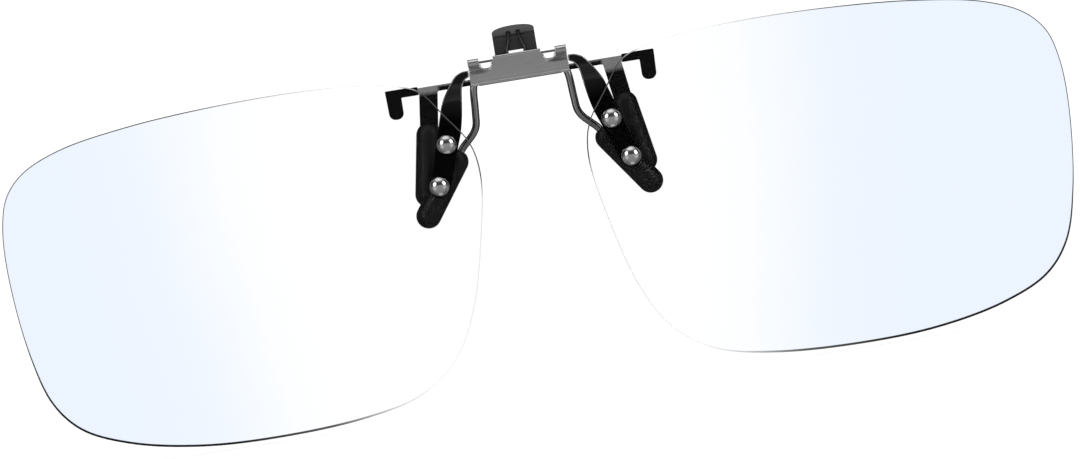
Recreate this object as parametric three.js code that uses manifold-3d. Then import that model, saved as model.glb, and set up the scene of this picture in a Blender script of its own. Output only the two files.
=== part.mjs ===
// Clip-on flip-up lenses: a sprung clip that grips a pair of spectacles at the bridge, with a pair of
// clear lenses hung on a shaft in the clip's folded front plate, so that they swing up out of sight.
//
// Millimetres. +X is the wearer's left, -Y is the front, +Z is up. The origin is the middle of the grip:
// halfway between the front and rear jaw sleeves, on the centre line, with the lenses down.
import * as THREE from 'three';
import { mergeVertices } from 'three/addons/utils/BufferGeometryUtils.js';
import Module from 'manifold-3d';

const wasm = await Module();
wasm.setup();

// ---- driving dimensions ----------------------------------------------------------------------------

const CLEARANCE = 0.05;          // between a piece and what it is cut to fit

const SLEEVE_RADIUS = 1.56;      // rubber sleeves on the four jaw legs
const JAW_GAP = 0.3;             // between the closed sleeves
const SLEEVE_Y = SLEEVE_RADIUS + JAW_GAP / 2;
const FRONT_SLEEVE = [[9.6, 1.1], [14.0, -5.0]]; // x and z of the middles of a sleeve's round ends
const REAR_SLEEVE = [[12.5, 5.0], [13.8, -2.3]];

const SHEET = 0.3;               // front plate's sheet
const PLATE_HALF_WIDTH = 6.22;
const PLATE_BOTTOM = 9.9;
const CHANNEL_INNER = 0.55;      // half the gap inside the plate's folded channel
const CHANNEL_OUTER = CHANNEL_INNER + SHEET;
const CHANNEL_Y = -2.1;
const CHANNEL_Z = PLATE_BOTTOM + CHANNEL_OUTER;
const PLATE_FRONT_Y = CHANNEL_Y - CHANNEL_OUTER;
const BACK_LEAF_TOP = 11.7;
const LEAF_SHOULDER_Z = 12.5;    // the front leaf's height at the knuckles
const NOTCH_X = 5.2;             // the channel is notched beyond this, so that the leg wires come down
const PRESS_HALF_WIDTH = 2.93;   // the raised middle that a finger presses, which leans forward
const PRESS_BASE = 3.2;
const PRESS_FOOT = 11.75;
const PRESS_TOP = 13.1;
const PRESS_LEAN = THREE.MathUtils.degToRad(29);
const PRESS_BEAD = 0.2;
const SCOOP_X = 3.975;           // half-round scoops that show the pin
const SCOOP_RADIUS = 0.745;

const SHAFT_Z = 11.65;
const SHAFT_RADIUS = 0.36;
const SHAFT_HALF_LENGTH = 6.27;

const PIN_Y = -2.55;
const PIN_Z = 12.8;
const PIN_RADIUS = 0.15;
const PIN_BORE = 0.2;
const KNUCKLE_RADIUS = 0.52;
const FRONT_KNUCKLE = [4.8, 6.22];
const REAR_KNUCKLE = [2.25, 3.0];

const LEG_RADIUS = 0.47;         // front jaw's leg wires
const SPRING_WIRE = 0.15;        // torsion spring's wire and coil radii
const SPRING_COIL = 0.41;
const SPRING_TURNS = 3;          // counted to the nearest turn
const SPRING_INNER_X = 1.1;
const SPRING_OUTER_X = 2.0;

const REAR_SHEET = 0.35;         // rear plate's sheet
const REAR_Y = SLEEVE_Y - REAR_SHEET / 2;
const BAR_BOTTOM = 10.3;
const BAR_TOP = 11.06;
const BAR_HALF_LENGTH = 16.9;
const FLANGE_HALF_LENGTH = 12.4;
const FLANGE_DEPTH = 1.05;
const ROOF_TOP = PIN_Z + KNUCKLE_RADIUS;
const ROOF_FRONT_Y = -1.75;
const HOOK_INNER_X = 15.3;
const HOOK_TIP_Z = 7.68;
const CAP_WALL = 0.16;           // the hooks' dipped covers
const CAP_START_X = 12.95;

const TAB_LEAN = THREE.MathUtils.degToRad(25);
const TAB_FOOT = [-1.58, 13.15]; // y and z of the thumb tab's foot
const TAB_LENGTH = 3.72;
const TAB_HALF_WIDTH = 2.66;
const TONGUE_HALF_WIDTH = 2.1;
const TONGUE_LENGTH = 3.1;
const TAB_NOTCH = 0.92;          // half the width of the window between the spring's wires
const POCKET_X = 0.62;           // pockets under the tab's lip that hold the springs' ends
const POCKET_UP = 2.65;
const POCKET_RADIUS = 0.32;
const LIP_UP = 2.45;
const WINDOW_TOP = 13.72;

const ARM_THICKNESS = 0.5;
const COLLAR_THICKNESS = 0.42;
const WASHER_THICKNESS = 0.3;
const FIT_GAP = 0.03;            // between the pieces stacked on a rivet
const COLLAR_BACK_Y = -SLEEVE_Y - SLEEVE_RADIUS - 0.25;
const ARM_BACK_Y = COLLAR_BACK_Y - COLLAR_THICKNESS - FIT_GAP;
const ARM_Y = ARM_BACK_Y - ARM_THICKNESS / 2;
const ARM_BEND = [8.2, 10.9];    // the arms step forward between these heights

const RIVET_SHANK = 0.6;
const RIVET_HOLE = 0.68;
const RIVET_HEAD = 1.22;
const RIVET_HEAD_HEIGHT = 0.95;
const RIVETS = { upper: [10.28, 3.25], lower: [11.96, -1.7] };
const WASHER_RADIUS = 1.05;

const LENS_THICKNESS = 1.8;
const LENS_RADIUS = 150;         // both faces are spherical, with the apex over the rivets' side
const LENS_APEX = [20, 3.8];
const LENS_CENTRE = [37, -8];
const LENS_CHAMFER = 0.25;
const LENS_SIDES = 64;
const LENS_RINGS = [0.3, 0.58, 0.82];
const LENS_OUTLINE = [
  [67.35, -3.5], [67.0, 2.2], [65.9, 5.7], [63.4, 8.3], [58.3, 10.4], [49.2, 11.85], [38.5, 12.55],
  [28.0, 12.65], [20.5, 12.2], [15.2, 11.35], [12.6, 10.25], [9.8, 6.6], [7.4, 3.0], [6.7, -1.0],
  [7.75, -8.1], [10.4, -17.8], [13.6, -23.4], [18.4, -26.9], [25.5, -28.6], [36.5, -29.3],
  [46.6, -28.9], [55.5, -27.2], [61.4, -24.6], [64.5, -20.9], [66.3, -14.5],
];

// ---- materials -------------------------------------------------------------------------------------

function material(color, roughness, metalness, opacity = 1) {
  return new THREE.MeshStandardMaterial({
    color, roughness, metalness, opacity, transparent: opacity < 1,
  });
}

const looks = {
  lens: () => material(0xeef5ff, 0.05, 0, 0.35),
  gunmetal: () => material(0x2b2b2d, 0.3, 0.9),
  plate: () => material(0x7c7d80, 0.35, 0.9),
  steel: () => material(0xa9abad, 0.3, 1),
  chrome: () => material(0xd8dadd, 0.12, 1),
  rubber: () => material(0x111112, 0.45, 0),
  nylon: () => material(0xdfe3e6, 0.5, 0),
};

// ---- geometry helpers ------------------------------------------------------------------------------

// A closed mesh from its corners and triangles, turned so that its faces point outwards.
function closedGeometry(corners, triangles) {
  const volume = triangles.reduce((sum, [a, b, c]) => (
    sum + corners[a].dot(new THREE.Vector3().crossVectors(corners[b], corners[c]))
  ), 0);
  const outward = volume > 0 ? triangles : triangles.map(([a, b, c]) => [a, c, b]);
  const geometry = new THREE.BufferGeometry().setFromPoints(corners);
  geometry.setIndex(outward.flat());
  return geometry;
}

// Skins a row of loops with the same number of points. A loop of one point closes an end to a tip, and
// a loop of several is closed with a fan.
function loft(loops) {
  const corners = loops.flat();
  const starts = [];
  let count = 0;
  for (const loop of loops) {
    starts.push(count);
    count += loop.length;
  }
  const triangles = [];
  for (let k = 0; k + 1 < loops.length; k += 1) {
    const [a, b] = [starts[k], starts[k + 1]];
    const [na, nb] = [loops[k].length, loops[k + 1].length];
    const sides = Math.max(na, nb);
    for (let i = 0; i < sides; i += 1) {
      const j = (i + 1) % sides;
      if (na > 1) triangles.push([a + i, a + j, b + (i % nb)]);
      if (nb > 1) triangles.push([a + (j % na), b + j, b + i]);
    }
  }
  const fan = (start, size, turned) => {
    for (let i = 1; i + 1 < size; i += 1) {
      const face = [start, start + i + 1, start + i];
      triangles.push(turned ? face.reverse() : face);
    }
  };
  fan(starts[0], loops[0].length, false);
  fan(starts.at(-1), loops.at(-1).length, true);
  return closedGeometry(corners, triangles);
}

function solid(geometry) {
  const bare = geometry.clone();
  bare.deleteAttribute('normal');
  bare.deleteAttribute('uv');
  const merged = mergeVertices(bare, 1e-4);
  return new wasm.Manifold(new wasm.Mesh({
    numProp: 3,
    vertProperties: Float32Array.from(merged.attributes.position.array),
    triVerts: Uint32Array.from(merged.index.array),
  }));
}

function geometryOf(manifold) {
  const mesh = manifold.getMesh();
  const geometry = new THREE.BufferGeometry();
  geometry.setAttribute('position', new THREE.BufferAttribute(mesh.vertProperties, 3));
  geometry.setIndex(new THREE.BufferAttribute(mesh.triVerts, 1));
  return geometry;
}

function join(geometries) {
  return geometries.map(solid).reduce((whole, piece) => whole.add(piece));
}

// The same shape on the other side of the centre line.
function mirrored(geometry) {
  const copy = geometry.index ? geometry.toNonIndexed() : geometry.clone();
  copy.deleteAttribute('normal');
  copy.deleteAttribute('uv');
  copy.scale(-1, 1, 1);
  const merged = mergeVertices(copy, 1e-4);
  const order = merged.index.array;
  for (let i = 0; i < order.length; i += 3) {
    [order[i + 1], order[i + 2]] = [order[i + 2], order[i + 1]];
  }
  return merged;
}

function box([x0, x1], [y0, y1], [z0, z1]) {
  const geometry = new THREE.BoxGeometry(x1 - x0, y1 - y0, z1 - z0);
  return geometry.translate((x0 + x1) / 2, (y0 + y1) / 2, (z0 + z1) / 2);
}

// A shape drawn in X and Z, given a thickness from y0 to y1.
function upright(shape, [y0, y1], curveSegments = 8) {
  const options = { depth: y1 - y0, bevelEnabled: false, curveSegments };
  const geometry = new THREE.ExtrudeGeometry(shape, options);
  return geometry.rotateX(Math.PI / 2).translate(0, y1, 0);
}

// A section drawn in Y and Z, run along X from x0 to x1.
function crosswise(section, [x0, x1], curveSegments = 8) {
  const options = { depth: x1 - x0, bevelEnabled: false, curveSegments };
  const geometry = new THREE.ExtrudeGeometry(section, options);
  const turn = new THREE.Matrix4().makeBasis(
    new THREE.Vector3(0, 1, 0), new THREE.Vector3(0, 0, 1), new THREE.Vector3(1, 0, 0),
  );
  return geometry.applyMatrix4(turn).translate(x0, 0, 0);
}

function wire(points, radius, sides, steps) {
  const path = new THREE.CatmullRomCurve3(points, false, 'centripetal');
  const round = new THREE.Shape();
  for (let i = 0; i < sides; i += 1) {
    const angle = (2 * Math.PI * i) / sides;
    const corner = [radius * Math.cos(angle), radius * Math.sin(angle)];
    if (i === 0) round.moveTo(...corner);
    else round.lineTo(...corner);
  }
  return new THREE.ExtrudeGeometry(round, { steps, extrudePath: path, bevelEnabled: false });
}

// A body of revolution about Y. The profile lists radius and y from the front tip to the back.
function turned(profile, segments) {
  const points = profile.map(([r, y]) => new THREE.Vector2(r, y));
  return new THREE.LatheGeometry(points, segments);
}

// ---- the lenses and what they hang on --------------------------------------------------------------

function lensBack(x, z) {
  const reach = (x - LENS_APEX[0]) ** 2 + (z - LENS_APEX[1]) ** 2;
  const sag = LENS_RADIUS - Math.sqrt(LENS_RADIUS ** 2 - reach);
  return LENS_BACK_Y + sag;
}

// The lens's back lies on the washers: LENS_BACK_Y is the height of its apex.
const rivetReach = (RIVETS.upper[0] - LENS_APEX[0]) ** 2 + (RIVETS.upper[1] - LENS_APEX[1]) ** 2;
const rivetSlope = Math.sqrt(rivetReach) / LENS_RADIUS;
const WASHER_FRONT_Y = ARM_BACK_Y - ARM_THICKNESS - FIT_GAP - WASHER_THICKNESS;
const LENS_AT_RIVET_Y = WASHER_FRONT_Y - FIT_GAP - WASHER_RADIUS * rivetSlope;
const LENS_BACK_Y = LENS_AT_RIVET_Y - (LENS_RADIUS - Math.sqrt(LENS_RADIUS ** 2 - rivetReach));
const HEAD_SEAT_Y = LENS_AT_RIVET_Y - LENS_THICKNESS - FIT_GAP - RIVET_HEAD * rivetSlope;

function hole([x, z], radius, [y0, y1]) {
  const bore = new THREE.CylinderGeometry(radius, radius, y1 - y0, 16);
  return bore.translate(x, (y0 + y1) / 2, z);
}

function lensShape() {
  const outline = new THREE.CatmullRomCurve3(
    LENS_OUTLINE.map(([x, z]) => new THREE.Vector3(x, 0, z)), true, 'centripetal',
  );
  const rim = outline.getSpacedPoints(LENS_SIDES).slice(0, LENS_SIDES);
  const ring = (scale, forward) => rim.map((point) => {
    const x = LENS_CENTRE[0] + (point.x - LENS_CENTRE[0]) * scale;
    const z = LENS_CENTRE[1] + (point.z - LENS_CENTRE[1]) * scale;
    return new THREE.Vector3(x, lensBack(x, z) - forward, z);
  });
  const middle = (forward) => {
    const [x, z] = LENS_CENTRE;
    return [new THREE.Vector3(x, lensBack(x, z) - forward, z)];
  };
  const inset = 1 - LENS_CHAMFER / 25;
  const blank = loft([
    middle(0),
    ...LENS_RINGS.map((scale) => ring(scale, 0)),
    ring(inset, 0),
    ring(1, LENS_CHAMFER),
    ring(1, LENS_THICKNESS - LENS_CHAMFER),
    ring(inset, LENS_THICKNESS),
    ...LENS_RINGS.toReversed().map((scale) => ring(scale, LENS_THICKNESS)),
    middle(LENS_THICKNESS),
  ]);
  const depth = [LENS_BACK_Y - 2 * LENS_THICKNESS, LENS_BACK_Y + 2 * LENS_THICKNESS];
  return Object.values(RIVETS).reduce(
    (left, place) => left.subtract(solid(hole(place, RIVET_HOLE, depth))), solid(blank),
  );
}

// The arm's outer and inner edges in X and Z, from the shaft's end to below the upper rivet.
const ARM_EDGES = [
  [[6.3, 12.05], [6.3, 11.25]],
  [[7.1, 12.0], [6.85, 10.95]],
  [[8.05, 11.55], [7.22, 10.35]],
  [[8.8, 10.7], [7.42, 9.7]],
  [[9.55, 9.5], [7.52, 8.8]],
  [[10.15, 8.3], [7.65, 7.9]],
  [[10.7, 6.6], [7.9, 6.4]],
  [[11.15, 5.1], [8.3, 4.7]],
];
const ARM_HALF_WIDTH = 1.36;

function armDepth(z) {
  const bent = THREE.MathUtils.smoothstep(z, ARM_BEND[0], ARM_BEND[1]);
  return THREE.MathUtils.lerp(ARM_Y, CHANNEL_Y, bent);
}

function armShape() {
  const [[ux, uz], [lx, lz]] = [RIVETS.upper, RIVETS.lower];
  const span = Math.hypot(lx - ux, lz - uz);
  const along = [(lx - ux) / span, (lz - uz) / span];
  const edges = [...ARM_EDGES];
  // past the upper rivet the arm is a straight strip with a round end
  const roundEnd = [0, 0.35, 0.65, 0.87, 0.98].map((part) => [span + part * ARM_HALF_WIDTH, part]);
  for (const [distance, part] of [[0, 0], [span / 2, 0], ...roundEnd]) {
    const half = ARM_HALF_WIDTH * Math.sqrt(1 - part ** 2);
    const [x, z] = [ux + along[0] * distance, uz + along[1] * distance];
    edges.push([[x - along[1] * half, z + along[0] * half], [x + along[1] * half, z - along[0] * half]]);
  }
  const loops = edges.map(([[ox, oz], [ix, iz]]) => {
    const y = armDepth((oz + iz) / 2);
    const [front, back] = [y - ARM_THICKNESS / 2, y + ARM_THICKNESS / 2];
    return [
      new THREE.Vector3(ox, front, oz), new THREE.Vector3(ox, back, oz),
      new THREE.Vector3(ix, back, iz), new THREE.Vector3(ix, front, iz),
    ];
  });
  const depth = [ARM_BACK_Y - 2 * ARM_THICKNESS, ARM_BACK_Y + ARM_THICKNESS];
  return Object.values(RIVETS).reduce(
    (left, place) => left.subtract(solid(hole(place, RIVET_HOLE, depth))), solid(loft(loops)),
  );
}

// A domed head in front of the lens, with a shank that ends flush with the collar.
function rivetShape() {
  const length = COLLAR_BACK_Y - HEAD_SEAT_Y;
  const dome = [0, 0.35, 0.65, 0.87, 1].map((part) => [
    RIVET_HEAD * part, -RIVET_HEAD_HEIGHT * Math.sqrt(1 - part ** 2 * 0.82),
  ]);
  return turned([...dome, [RIVET_HEAD, 0], [RIVET_SHANK, 0], [RIVET_SHANK, length], [0, length]], 18);
}

function ringShape(outer, thickness) {
  const inner = RIVET_HOLE;
  const edge = thickness * 0.25;
  return turned([
    [inner, 0], [outer - edge, 0], [outer, edge], [outer, thickness - edge], [outer - edge, thickness],
    [inner, thickness], [inner, 0],
  ], 16);
}

// ---- the front clip --------------------------------------------------------------------------------

function knuckle(range, radius) {
  const section = new THREE.Shape().absarc(PIN_Y, PIN_Z, radius, 0, 2 * Math.PI, false);
  section.holes.push(new THREE.Path().absarc(PIN_Y, PIN_Z, PIN_BORE, 0, 2 * Math.PI, true));
  return crosswise(section, range, 16);
}

function pinBore() {
  const bore = new THREE.CylinderGeometry(PIN_BORE, PIN_BORE, 4 * PLATE_HALF_WIDTH, 16);
  return bore.rotateZ(Math.PI / 2).translate(0, PIN_Y, PIN_Z);
}

// The flat front of the plate, with an ear down each side, up to the knuckles and the foot of the press.
function frontLeaf() {
  const half = PLATE_HALF_WIDTH;
  const bottom = PLATE_BOTTOM + 0.05;
  const leaf = new THREE.Shape();
  leaf.moveTo(NOTCH_X, CHANNEL_Z);
  leaf.lineTo(NOTCH_X, bottom);
  leaf.lineTo(half, bottom);
  leaf.lineTo(half, LEAF_SHOULDER_Z);
  leaf.lineTo(SCOOP_X, LEAF_SHOULDER_Z);
  leaf.lineTo(SCOOP_X, PRESS_FOOT);
  leaf.lineTo(-SCOOP_X, PRESS_FOOT);
  leaf.lineTo(-SCOOP_X, LEAF_SHOULDER_Z);
  leaf.lineTo(-half, LEAF_SHOULDER_Z);
  leaf.lineTo(-half, bottom);
  leaf.lineTo(-NOTCH_X, bottom);
  leaf.lineTo(-NOTCH_X, CHANNEL_Z);
  return upright(leaf, [PLATE_FRONT_Y, PLATE_FRONT_Y + SHEET]);
}

// The press, from inside the leaf up to its rolled top edge.
function pressSection() {
  const rise = PRESS_TOP - PRESS_FOOT;
  const reach = rise * Math.tan(PRESS_LEAN);
  const [thickY, thickZ] = [SHEET * Math.cos(PRESS_LEAN), SHEET * Math.sin(PRESS_LEAN)];
  const back = PLATE_FRONT_Y + SHEET;
  const section = new THREE.Shape();
  section.moveTo(PLATE_FRONT_Y, PRESS_FOOT - 0.3);
  section.lineTo(back, PRESS_FOOT - 0.3);
  section.lineTo(back, PRESS_FOOT);
  section.lineTo(back - reach, PRESS_TOP);
  section.lineTo(back - reach - thickY, PRESS_TOP - thickZ);
  section.lineTo(PLATE_FRONT_Y, PRESS_FOOT - thickZ / 2);
  return section;
}

function pressBead() {
  const reach = (PRESS_TOP - PRESS_FOOT) * Math.tan(PRESS_LEAN);
  const y = PLATE_FRONT_Y + SHEET - reach - SHEET / 2;
  const section = new THREE.Shape().absarc(y, PRESS_TOP, PRESS_BEAD, 0, 2 * Math.PI, false);
  return crosswise(section, [-PRESS_HALF_WIDTH, PRESS_HALF_WIDTH], 10);
}

// The sheet folds under into a channel that holds the leg wires and the shaft, and up again behind.
function channelSection() {
  const section = new THREE.Shape();
  section.moveTo(CHANNEL_Y - CHANNEL_OUTER, CHANNEL_Z + 0.4);
  section.absarc(CHANNEL_Y, CHANNEL_Z, CHANNEL_OUTER, Math.PI, 2 * Math.PI, false);
  section.lineTo(CHANNEL_Y + CHANNEL_OUTER, BACK_LEAF_TOP);
  section.lineTo(CHANNEL_Y + CHANNEL_INNER, BACK_LEAF_TOP);
  section.absarc(CHANNEL_Y, CHANNEL_Z, CHANNEL_INNER, 2 * Math.PI, Math.PI, true);
  section.lineTo(CHANNEL_Y - CHANNEL_INNER, CHANNEL_Z + 0.4);
  return section;
}

function frontPlateShape() {
  const sides = [1, -1];
  const across = (side, [a, b]) => (side > 0 ? [a, b] : [-b, -a]);
  const deep = [PLATE_FRONT_Y - 2, PLATE_FRONT_Y + SHEET + 0.05];
  const scoop = (side) => hole([side * SCOOP_X, LEAF_SHOULDER_Z], SCOOP_RADIUS, deep);
  const overScoop = (side) => box(
    across(side, [SCOOP_X - SCOOP_RADIUS, SCOOP_X + SCOOP_RADIUS]), deep, [LEAF_SHOULDER_Z, PRESS_TOP + 1],
  );
  // the press narrows upwards
  const taper = (side) => {
    const edge = new THREE.Shape();
    edge.moveTo(side * PRESS_BASE, LEAF_SHOULDER_Z);
    edge.lineTo(side * (PRESS_BASE + 1), LEAF_SHOULDER_Z);
    edge.lineTo(side * (PRESS_BASE + 1), PRESS_TOP + 1);
    edge.lineTo(side * PRESS_HALF_WIDTH, PRESS_TOP + 1);
    edge.lineTo(side * PRESS_HALF_WIDTH, PRESS_TOP);
    return upright(edge, deep);
  };
  const cuts = [...sides.map(scoop), ...sides.map(overScoop), ...sides.map(taper), pinBore()];
  const plate = join([
    frontLeaf(),
    crosswise(channelSection(), [-NOTCH_X, NOTCH_X], 8),
    crosswise(pressSection(), [-SCOOP_X + 0.2, SCOOP_X - 0.2]),
    ...sides.map((side) => knuckle(across(side, FRONT_KNUCKLE), KNUCKLE_RADIUS)),
  ]);
  return cuts.reduce((left, cut) => left.subtract(solid(cut)), plate).add(solid(pressBead()));
}

// A point on a sleeve's axis in X and Z, at a distance below its upper cap's centre.
function onAxis([[x0, z0], [x1, z1]], distance) {
  const length = Math.hypot(x1 - x0, z1 - z0);
  return [x0 + ((x1 - x0) * distance) / length, z0 + ((z1 - z0) * distance) / length];
}

function frontLeg(radius) {
  const straight = [-1.9, -1.2, 0, 3, 6.6].map((distance) => {
    const [x, z] = onAxis(FRONT_SLEEVE, distance);
    return new THREE.Vector3(x, -SLEEVE_Y, z);
  });
  const stubZ = CHANNEL_Z - CHANNEL_INNER + LEG_RADIUS + 0.02;
  return wire([
    new THREE.Vector3(0.2, CHANNEL_Y, stubZ),
    new THREE.Vector3(2.6, CHANNEL_Y, stubZ),
    new THREE.Vector3(4.9, CHANNEL_Y, stubZ),
    new THREE.Vector3(5.68, CHANNEL_Y, stubZ - 0.28),
    new THREE.Vector3(5.96, CHANNEL_Y, stubZ - 1.0),
    new THREE.Vector3(6.2, -1.95, 6.75),
    new THREE.Vector3(6.4, -1.82, 5.1),
    new THREE.Vector3(6.9, -1.75, 4.2),
    ...straight,
  ], radius, 8, 44);
}

function capsule([[x0, z0], [x1, z1]], y) {
  const length = Math.hypot(x1 - x0, z1 - z0);
  const arc = [0, 22.5, 45, 67.5, 90].map((degrees) => THREE.MathUtils.degToRad(degrees));
  const tip = arc.map((a) => [SLEEVE_RADIUS * Math.sin(a), -length / 2 - SLEEVE_RADIUS * Math.cos(a)]);
  const top = tip.toReversed().map(([r, v]) => [r, -v]);
  const geometry = turned([...tip, ...top], 16);
  geometry.rotateX(Math.PI / 2);
  geometry.rotateY(Math.atan2(x0 - x1, z0 - z1));
  return geometry.translate((x0 + x1) / 2, y, (z0 + z1) / 2);
}

function pinShape() {
  const half = PLATE_HALF_WIDTH - 0.02;
  const chamfer = 0.06;
  return turned([
    [0, -half], [PIN_RADIUS - chamfer, -half], [PIN_RADIUS, -half + chamfer],
    [PIN_RADIUS, half - chamfer], [PIN_RADIUS - chamfer, half], [0, half],
  ], 16);
}

// ---- the rear jaw ----------------------------------------------------------------------------------

// Places a point of the thumb tab: across, up its face, and out of its back.
function onTab(x, up, back) {
  const [y, z] = TAB_FOOT;
  return new THREE.Vector3(
    x,
    y + up * Math.sin(TAB_LEAN) + back * Math.cos(TAB_LEAN),
    z + up * Math.cos(TAB_LEAN) - back * Math.sin(TAB_LEAN),
  );
}

function onTabFrame(geometry) {
  const turn = new THREE.Matrix4().makeBasis(
    new THREE.Vector3(1, 0, 0),
    new THREE.Vector3(0, Math.sin(TAB_LEAN), Math.cos(TAB_LEAN)),
    new THREE.Vector3(0, -Math.cos(TAB_LEAN), Math.sin(TAB_LEAN)),
  );
  return geometry.applyMatrix4(turn).translate(0, ...TAB_FOOT);
}

// A slab on the tab: an outline across and up its face, from `front` ahead of it to `back` behind it.
function tabSlab(outline, front, back, curveSegments = 6) {
  const geometry = new THREE.ExtrudeGeometry(outline, {
    depth: front + back, bevelEnabled: false, curveSegments,
  });
  return onTabFrame(geometry.translate(0, 0, -back));
}

function tongueOutline(grow) {
  const [half, top] = [TONGUE_HALF_WIDTH + grow, TONGUE_LENGTH + grow];
  const outline = new THREE.Shape();
  outline.moveTo(-half, -0.02 - grow);
  outline.lineTo(half, -0.02 - grow);
  outline.lineTo(half, top - 0.6);
  outline.lineTo(half - 0.6, top);
  outline.lineTo(-half + 0.6, top);
  outline.lineTo(-half, top - 0.6);
  return outline;
}

function tongue(grow) {
  return tabSlab(tongueOutline(grow), REAR_SHEET / 2 + grow, REAR_SHEET / 2 + grow);
}

// One rear leg in X and Z: a neck from the bar that narrows to a core inside the sleeve.
function rearLegOutline(grow) {
  const leg = new THREE.Shape();
  const coreHalf = 0.62 + grow;
  const top = BAR_BOTTOM + 0.1 + (grow > 0 ? 1 : 0);
  const [ax, az] = onAxis(REAR_SLEEVE, 0.6);
  const [bx, bz] = onAxis(REAR_SLEEVE, 6.6 + grow);
  leg.moveTo(10.5 - grow, top);
  leg.lineTo(10.5 - grow, BAR_BOTTOM);
  leg.lineTo(11.15 - grow, 5.9 - grow);
  leg.lineTo(ax - coreHalf, az - 0.3);
  leg.lineTo(bx - coreHalf, bz);
  leg.lineTo(bx + coreHalf, bz);
  leg.lineTo(ax + coreHalf, az - 0.1);
  leg.lineTo(13.45 + grow, 5.9 - grow);
  leg.lineTo(12.86 + grow, BAR_BOTTOM);
  leg.lineTo(12.86 + grow, top);
  return leg;
}

function rearLeg(grow) {
  return upright(rearLegOutline(grow), [REAR_Y - grow, REAR_Y + REAR_SHEET + grow]);
}

function hookOutline() {
  const [inner, outer] = [HOOK_INNER_X, BAR_HALF_LENGTH - 0.15];
  const middle = (inner + outer) / 2;
  const round = (outer - inner) / 2;
  const hook = new THREE.Shape();
  hook.moveTo(BAR_HALF_LENGTH, BAR_BOTTOM + 0.1);
  hook.lineTo(inner, BAR_BOTTOM + 0.1);
  hook.lineTo(inner, HOOK_TIP_Z + round);
  hook.absarc(middle, HOOK_TIP_Z + round, round, Math.PI, 2 * Math.PI, false);
  return hook;
}

function rearPlateShape() {
  const sheet = [REAR_Y, REAR_Y + REAR_SHEET];
  const roof = [ROOF_TOP - REAR_SHEET, ROOF_TOP];
  const knuckles = [REAR_KNUCKLE, [-REAR_KNUCKLE[1], -REAR_KNUCKLE[0]]];
  const width = REAR_KNUCKLE[1];
  const flange = [REAR_Y, REAR_Y + FLANGE_DEPTH];
  const legs = [rearLeg(0), upright(hookOutline(), sheet, 6)];
  const whole = join([
    box([-BAR_HALF_LENGTH, BAR_HALF_LENGTH], sheet, [BAR_BOTTOM, BAR_TOP]),
    box([-FLANGE_HALF_LENGTH, FLANGE_HALF_LENGTH], flange, [BAR_TOP - REAR_SHEET, BAR_TOP]),
    box([-width, width], sheet, [BAR_BOTTOM + 0.1, ROOF_TOP - 0.01]),
    box([-width, width], [ROOF_FRONT_Y, REAR_Y + REAR_SHEET - 0.01], roof),
    ...knuckles.map((range) => box(range, [PIN_Y, ROOF_FRONT_Y + 0.1], roof)),
    ...knuckles.map((range) => knuckle(range, KNUCKLE_RADIUS)),
    tongue(0),
    ...legs,
    ...legs.map(mirrored),
  ]);
  const window = box([-TAB_NOTCH, TAB_NOTCH], [ROOF_FRONT_Y - 0.4, 0.2], [ROOF_TOP - 1, WINDOW_TOP]);
  return whole.subtract(solid(pinBore())).subtract(solid(window));
}

// The moulded cover over the tongue: a thick lip along the top, a thinner pressed face below it.
function padOutline(bottom) {
  const half = TAB_HALF_WIDTH;
  const shoulder = TAB_LENGTH - 0.75;
  const outline = new THREE.Shape();
  outline.moveTo(half, bottom);
  outline.lineTo(half, shoulder);
  outline.bezierCurveTo(half, shoulder + 0.45, half - 1.1, TAB_LENGTH, 0, TAB_LENGTH);
  outline.bezierCurveTo(-half + 1.1, TAB_LENGTH, -half, shoulder + 0.45, -half, shoulder);
  outline.lineTo(-half, bottom);
  return outline;
}

function thumbPadShape() {
  const pockets = [POCKET_X, -POCKET_X].map((x) => (
    new THREE.Shape().absarc(x, POCKET_UP, POCKET_RADIUS, 0, 2 * Math.PI, false)
  ));
  const wide = [-TAB_HALF_WIDTH - 1, TAB_HALF_WIDTH + 1];
  const overRoof = box(wide, [ROOF_FRONT_Y - CLEARANCE, 3], [ROOF_TOP - 1, ROOF_TOP + CLEARANCE]);
  const middle = box([-TAB_NOTCH, TAB_NOTCH], [-3, 3], [ROOF_TOP - 1, WINDOW_TOP]);
  const cuts = [tongue(CLEARANCE), overRoof, middle, ...pockets.map((pocket) => tabSlab(pocket, 1, -0.5, 8))];
  return cuts.reduce(
    (left, cut) => left.subtract(solid(cut)),
    join([tabSlab(padOutline(0.1), 0.45, 0.55), tabSlab(padOutline(LIP_UP), 0.95, 0.5)]),
  );
}

function hookCapShape() {
  const [y0, y1] = [REAR_Y, REAR_Y + REAR_SHEET];
  const wall = CAP_WALL;
  const outside = new THREE.Shape();
  const [inner, outer] = [HOOK_INNER_X - wall, BAR_HALF_LENGTH + wall];
  const round = (outer - 0.12 - inner) / 2;
  outside.moveTo(CAP_START_X, BAR_TOP + wall);
  outside.lineTo(CAP_START_X, BAR_BOTTOM - wall);
  outside.lineTo(inner, BAR_BOTTOM - wall);
  outside.lineTo(inner, HOOK_TIP_Z - wall + round);
  outside.absarc(inner + round, HOOK_TIP_Z - wall + round, round, Math.PI, 2 * Math.PI, false);
  outside.lineTo(outer, BAR_TOP + wall);
  const cover = solid(upright(outside, [y0 - wall, y1 + wall], 6));
  const inside = join([
    box([CAP_START_X - 1, BAR_HALF_LENGTH + CLEARANCE], [y0 - CLEARANCE, y1 + CLEARANCE],
      [BAR_BOTTOM - CLEARANCE, BAR_TOP + CLEARANCE]),
    box([HOOK_INNER_X - CLEARANCE, BAR_HALF_LENGTH + CLEARANCE], [y0 - CLEARANCE, y1 + CLEARANCE],
      [HOOK_TIP_Z - CLEARANCE, BAR_TOP]),
  ]);
  return cover.subtract(inside);
}

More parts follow.
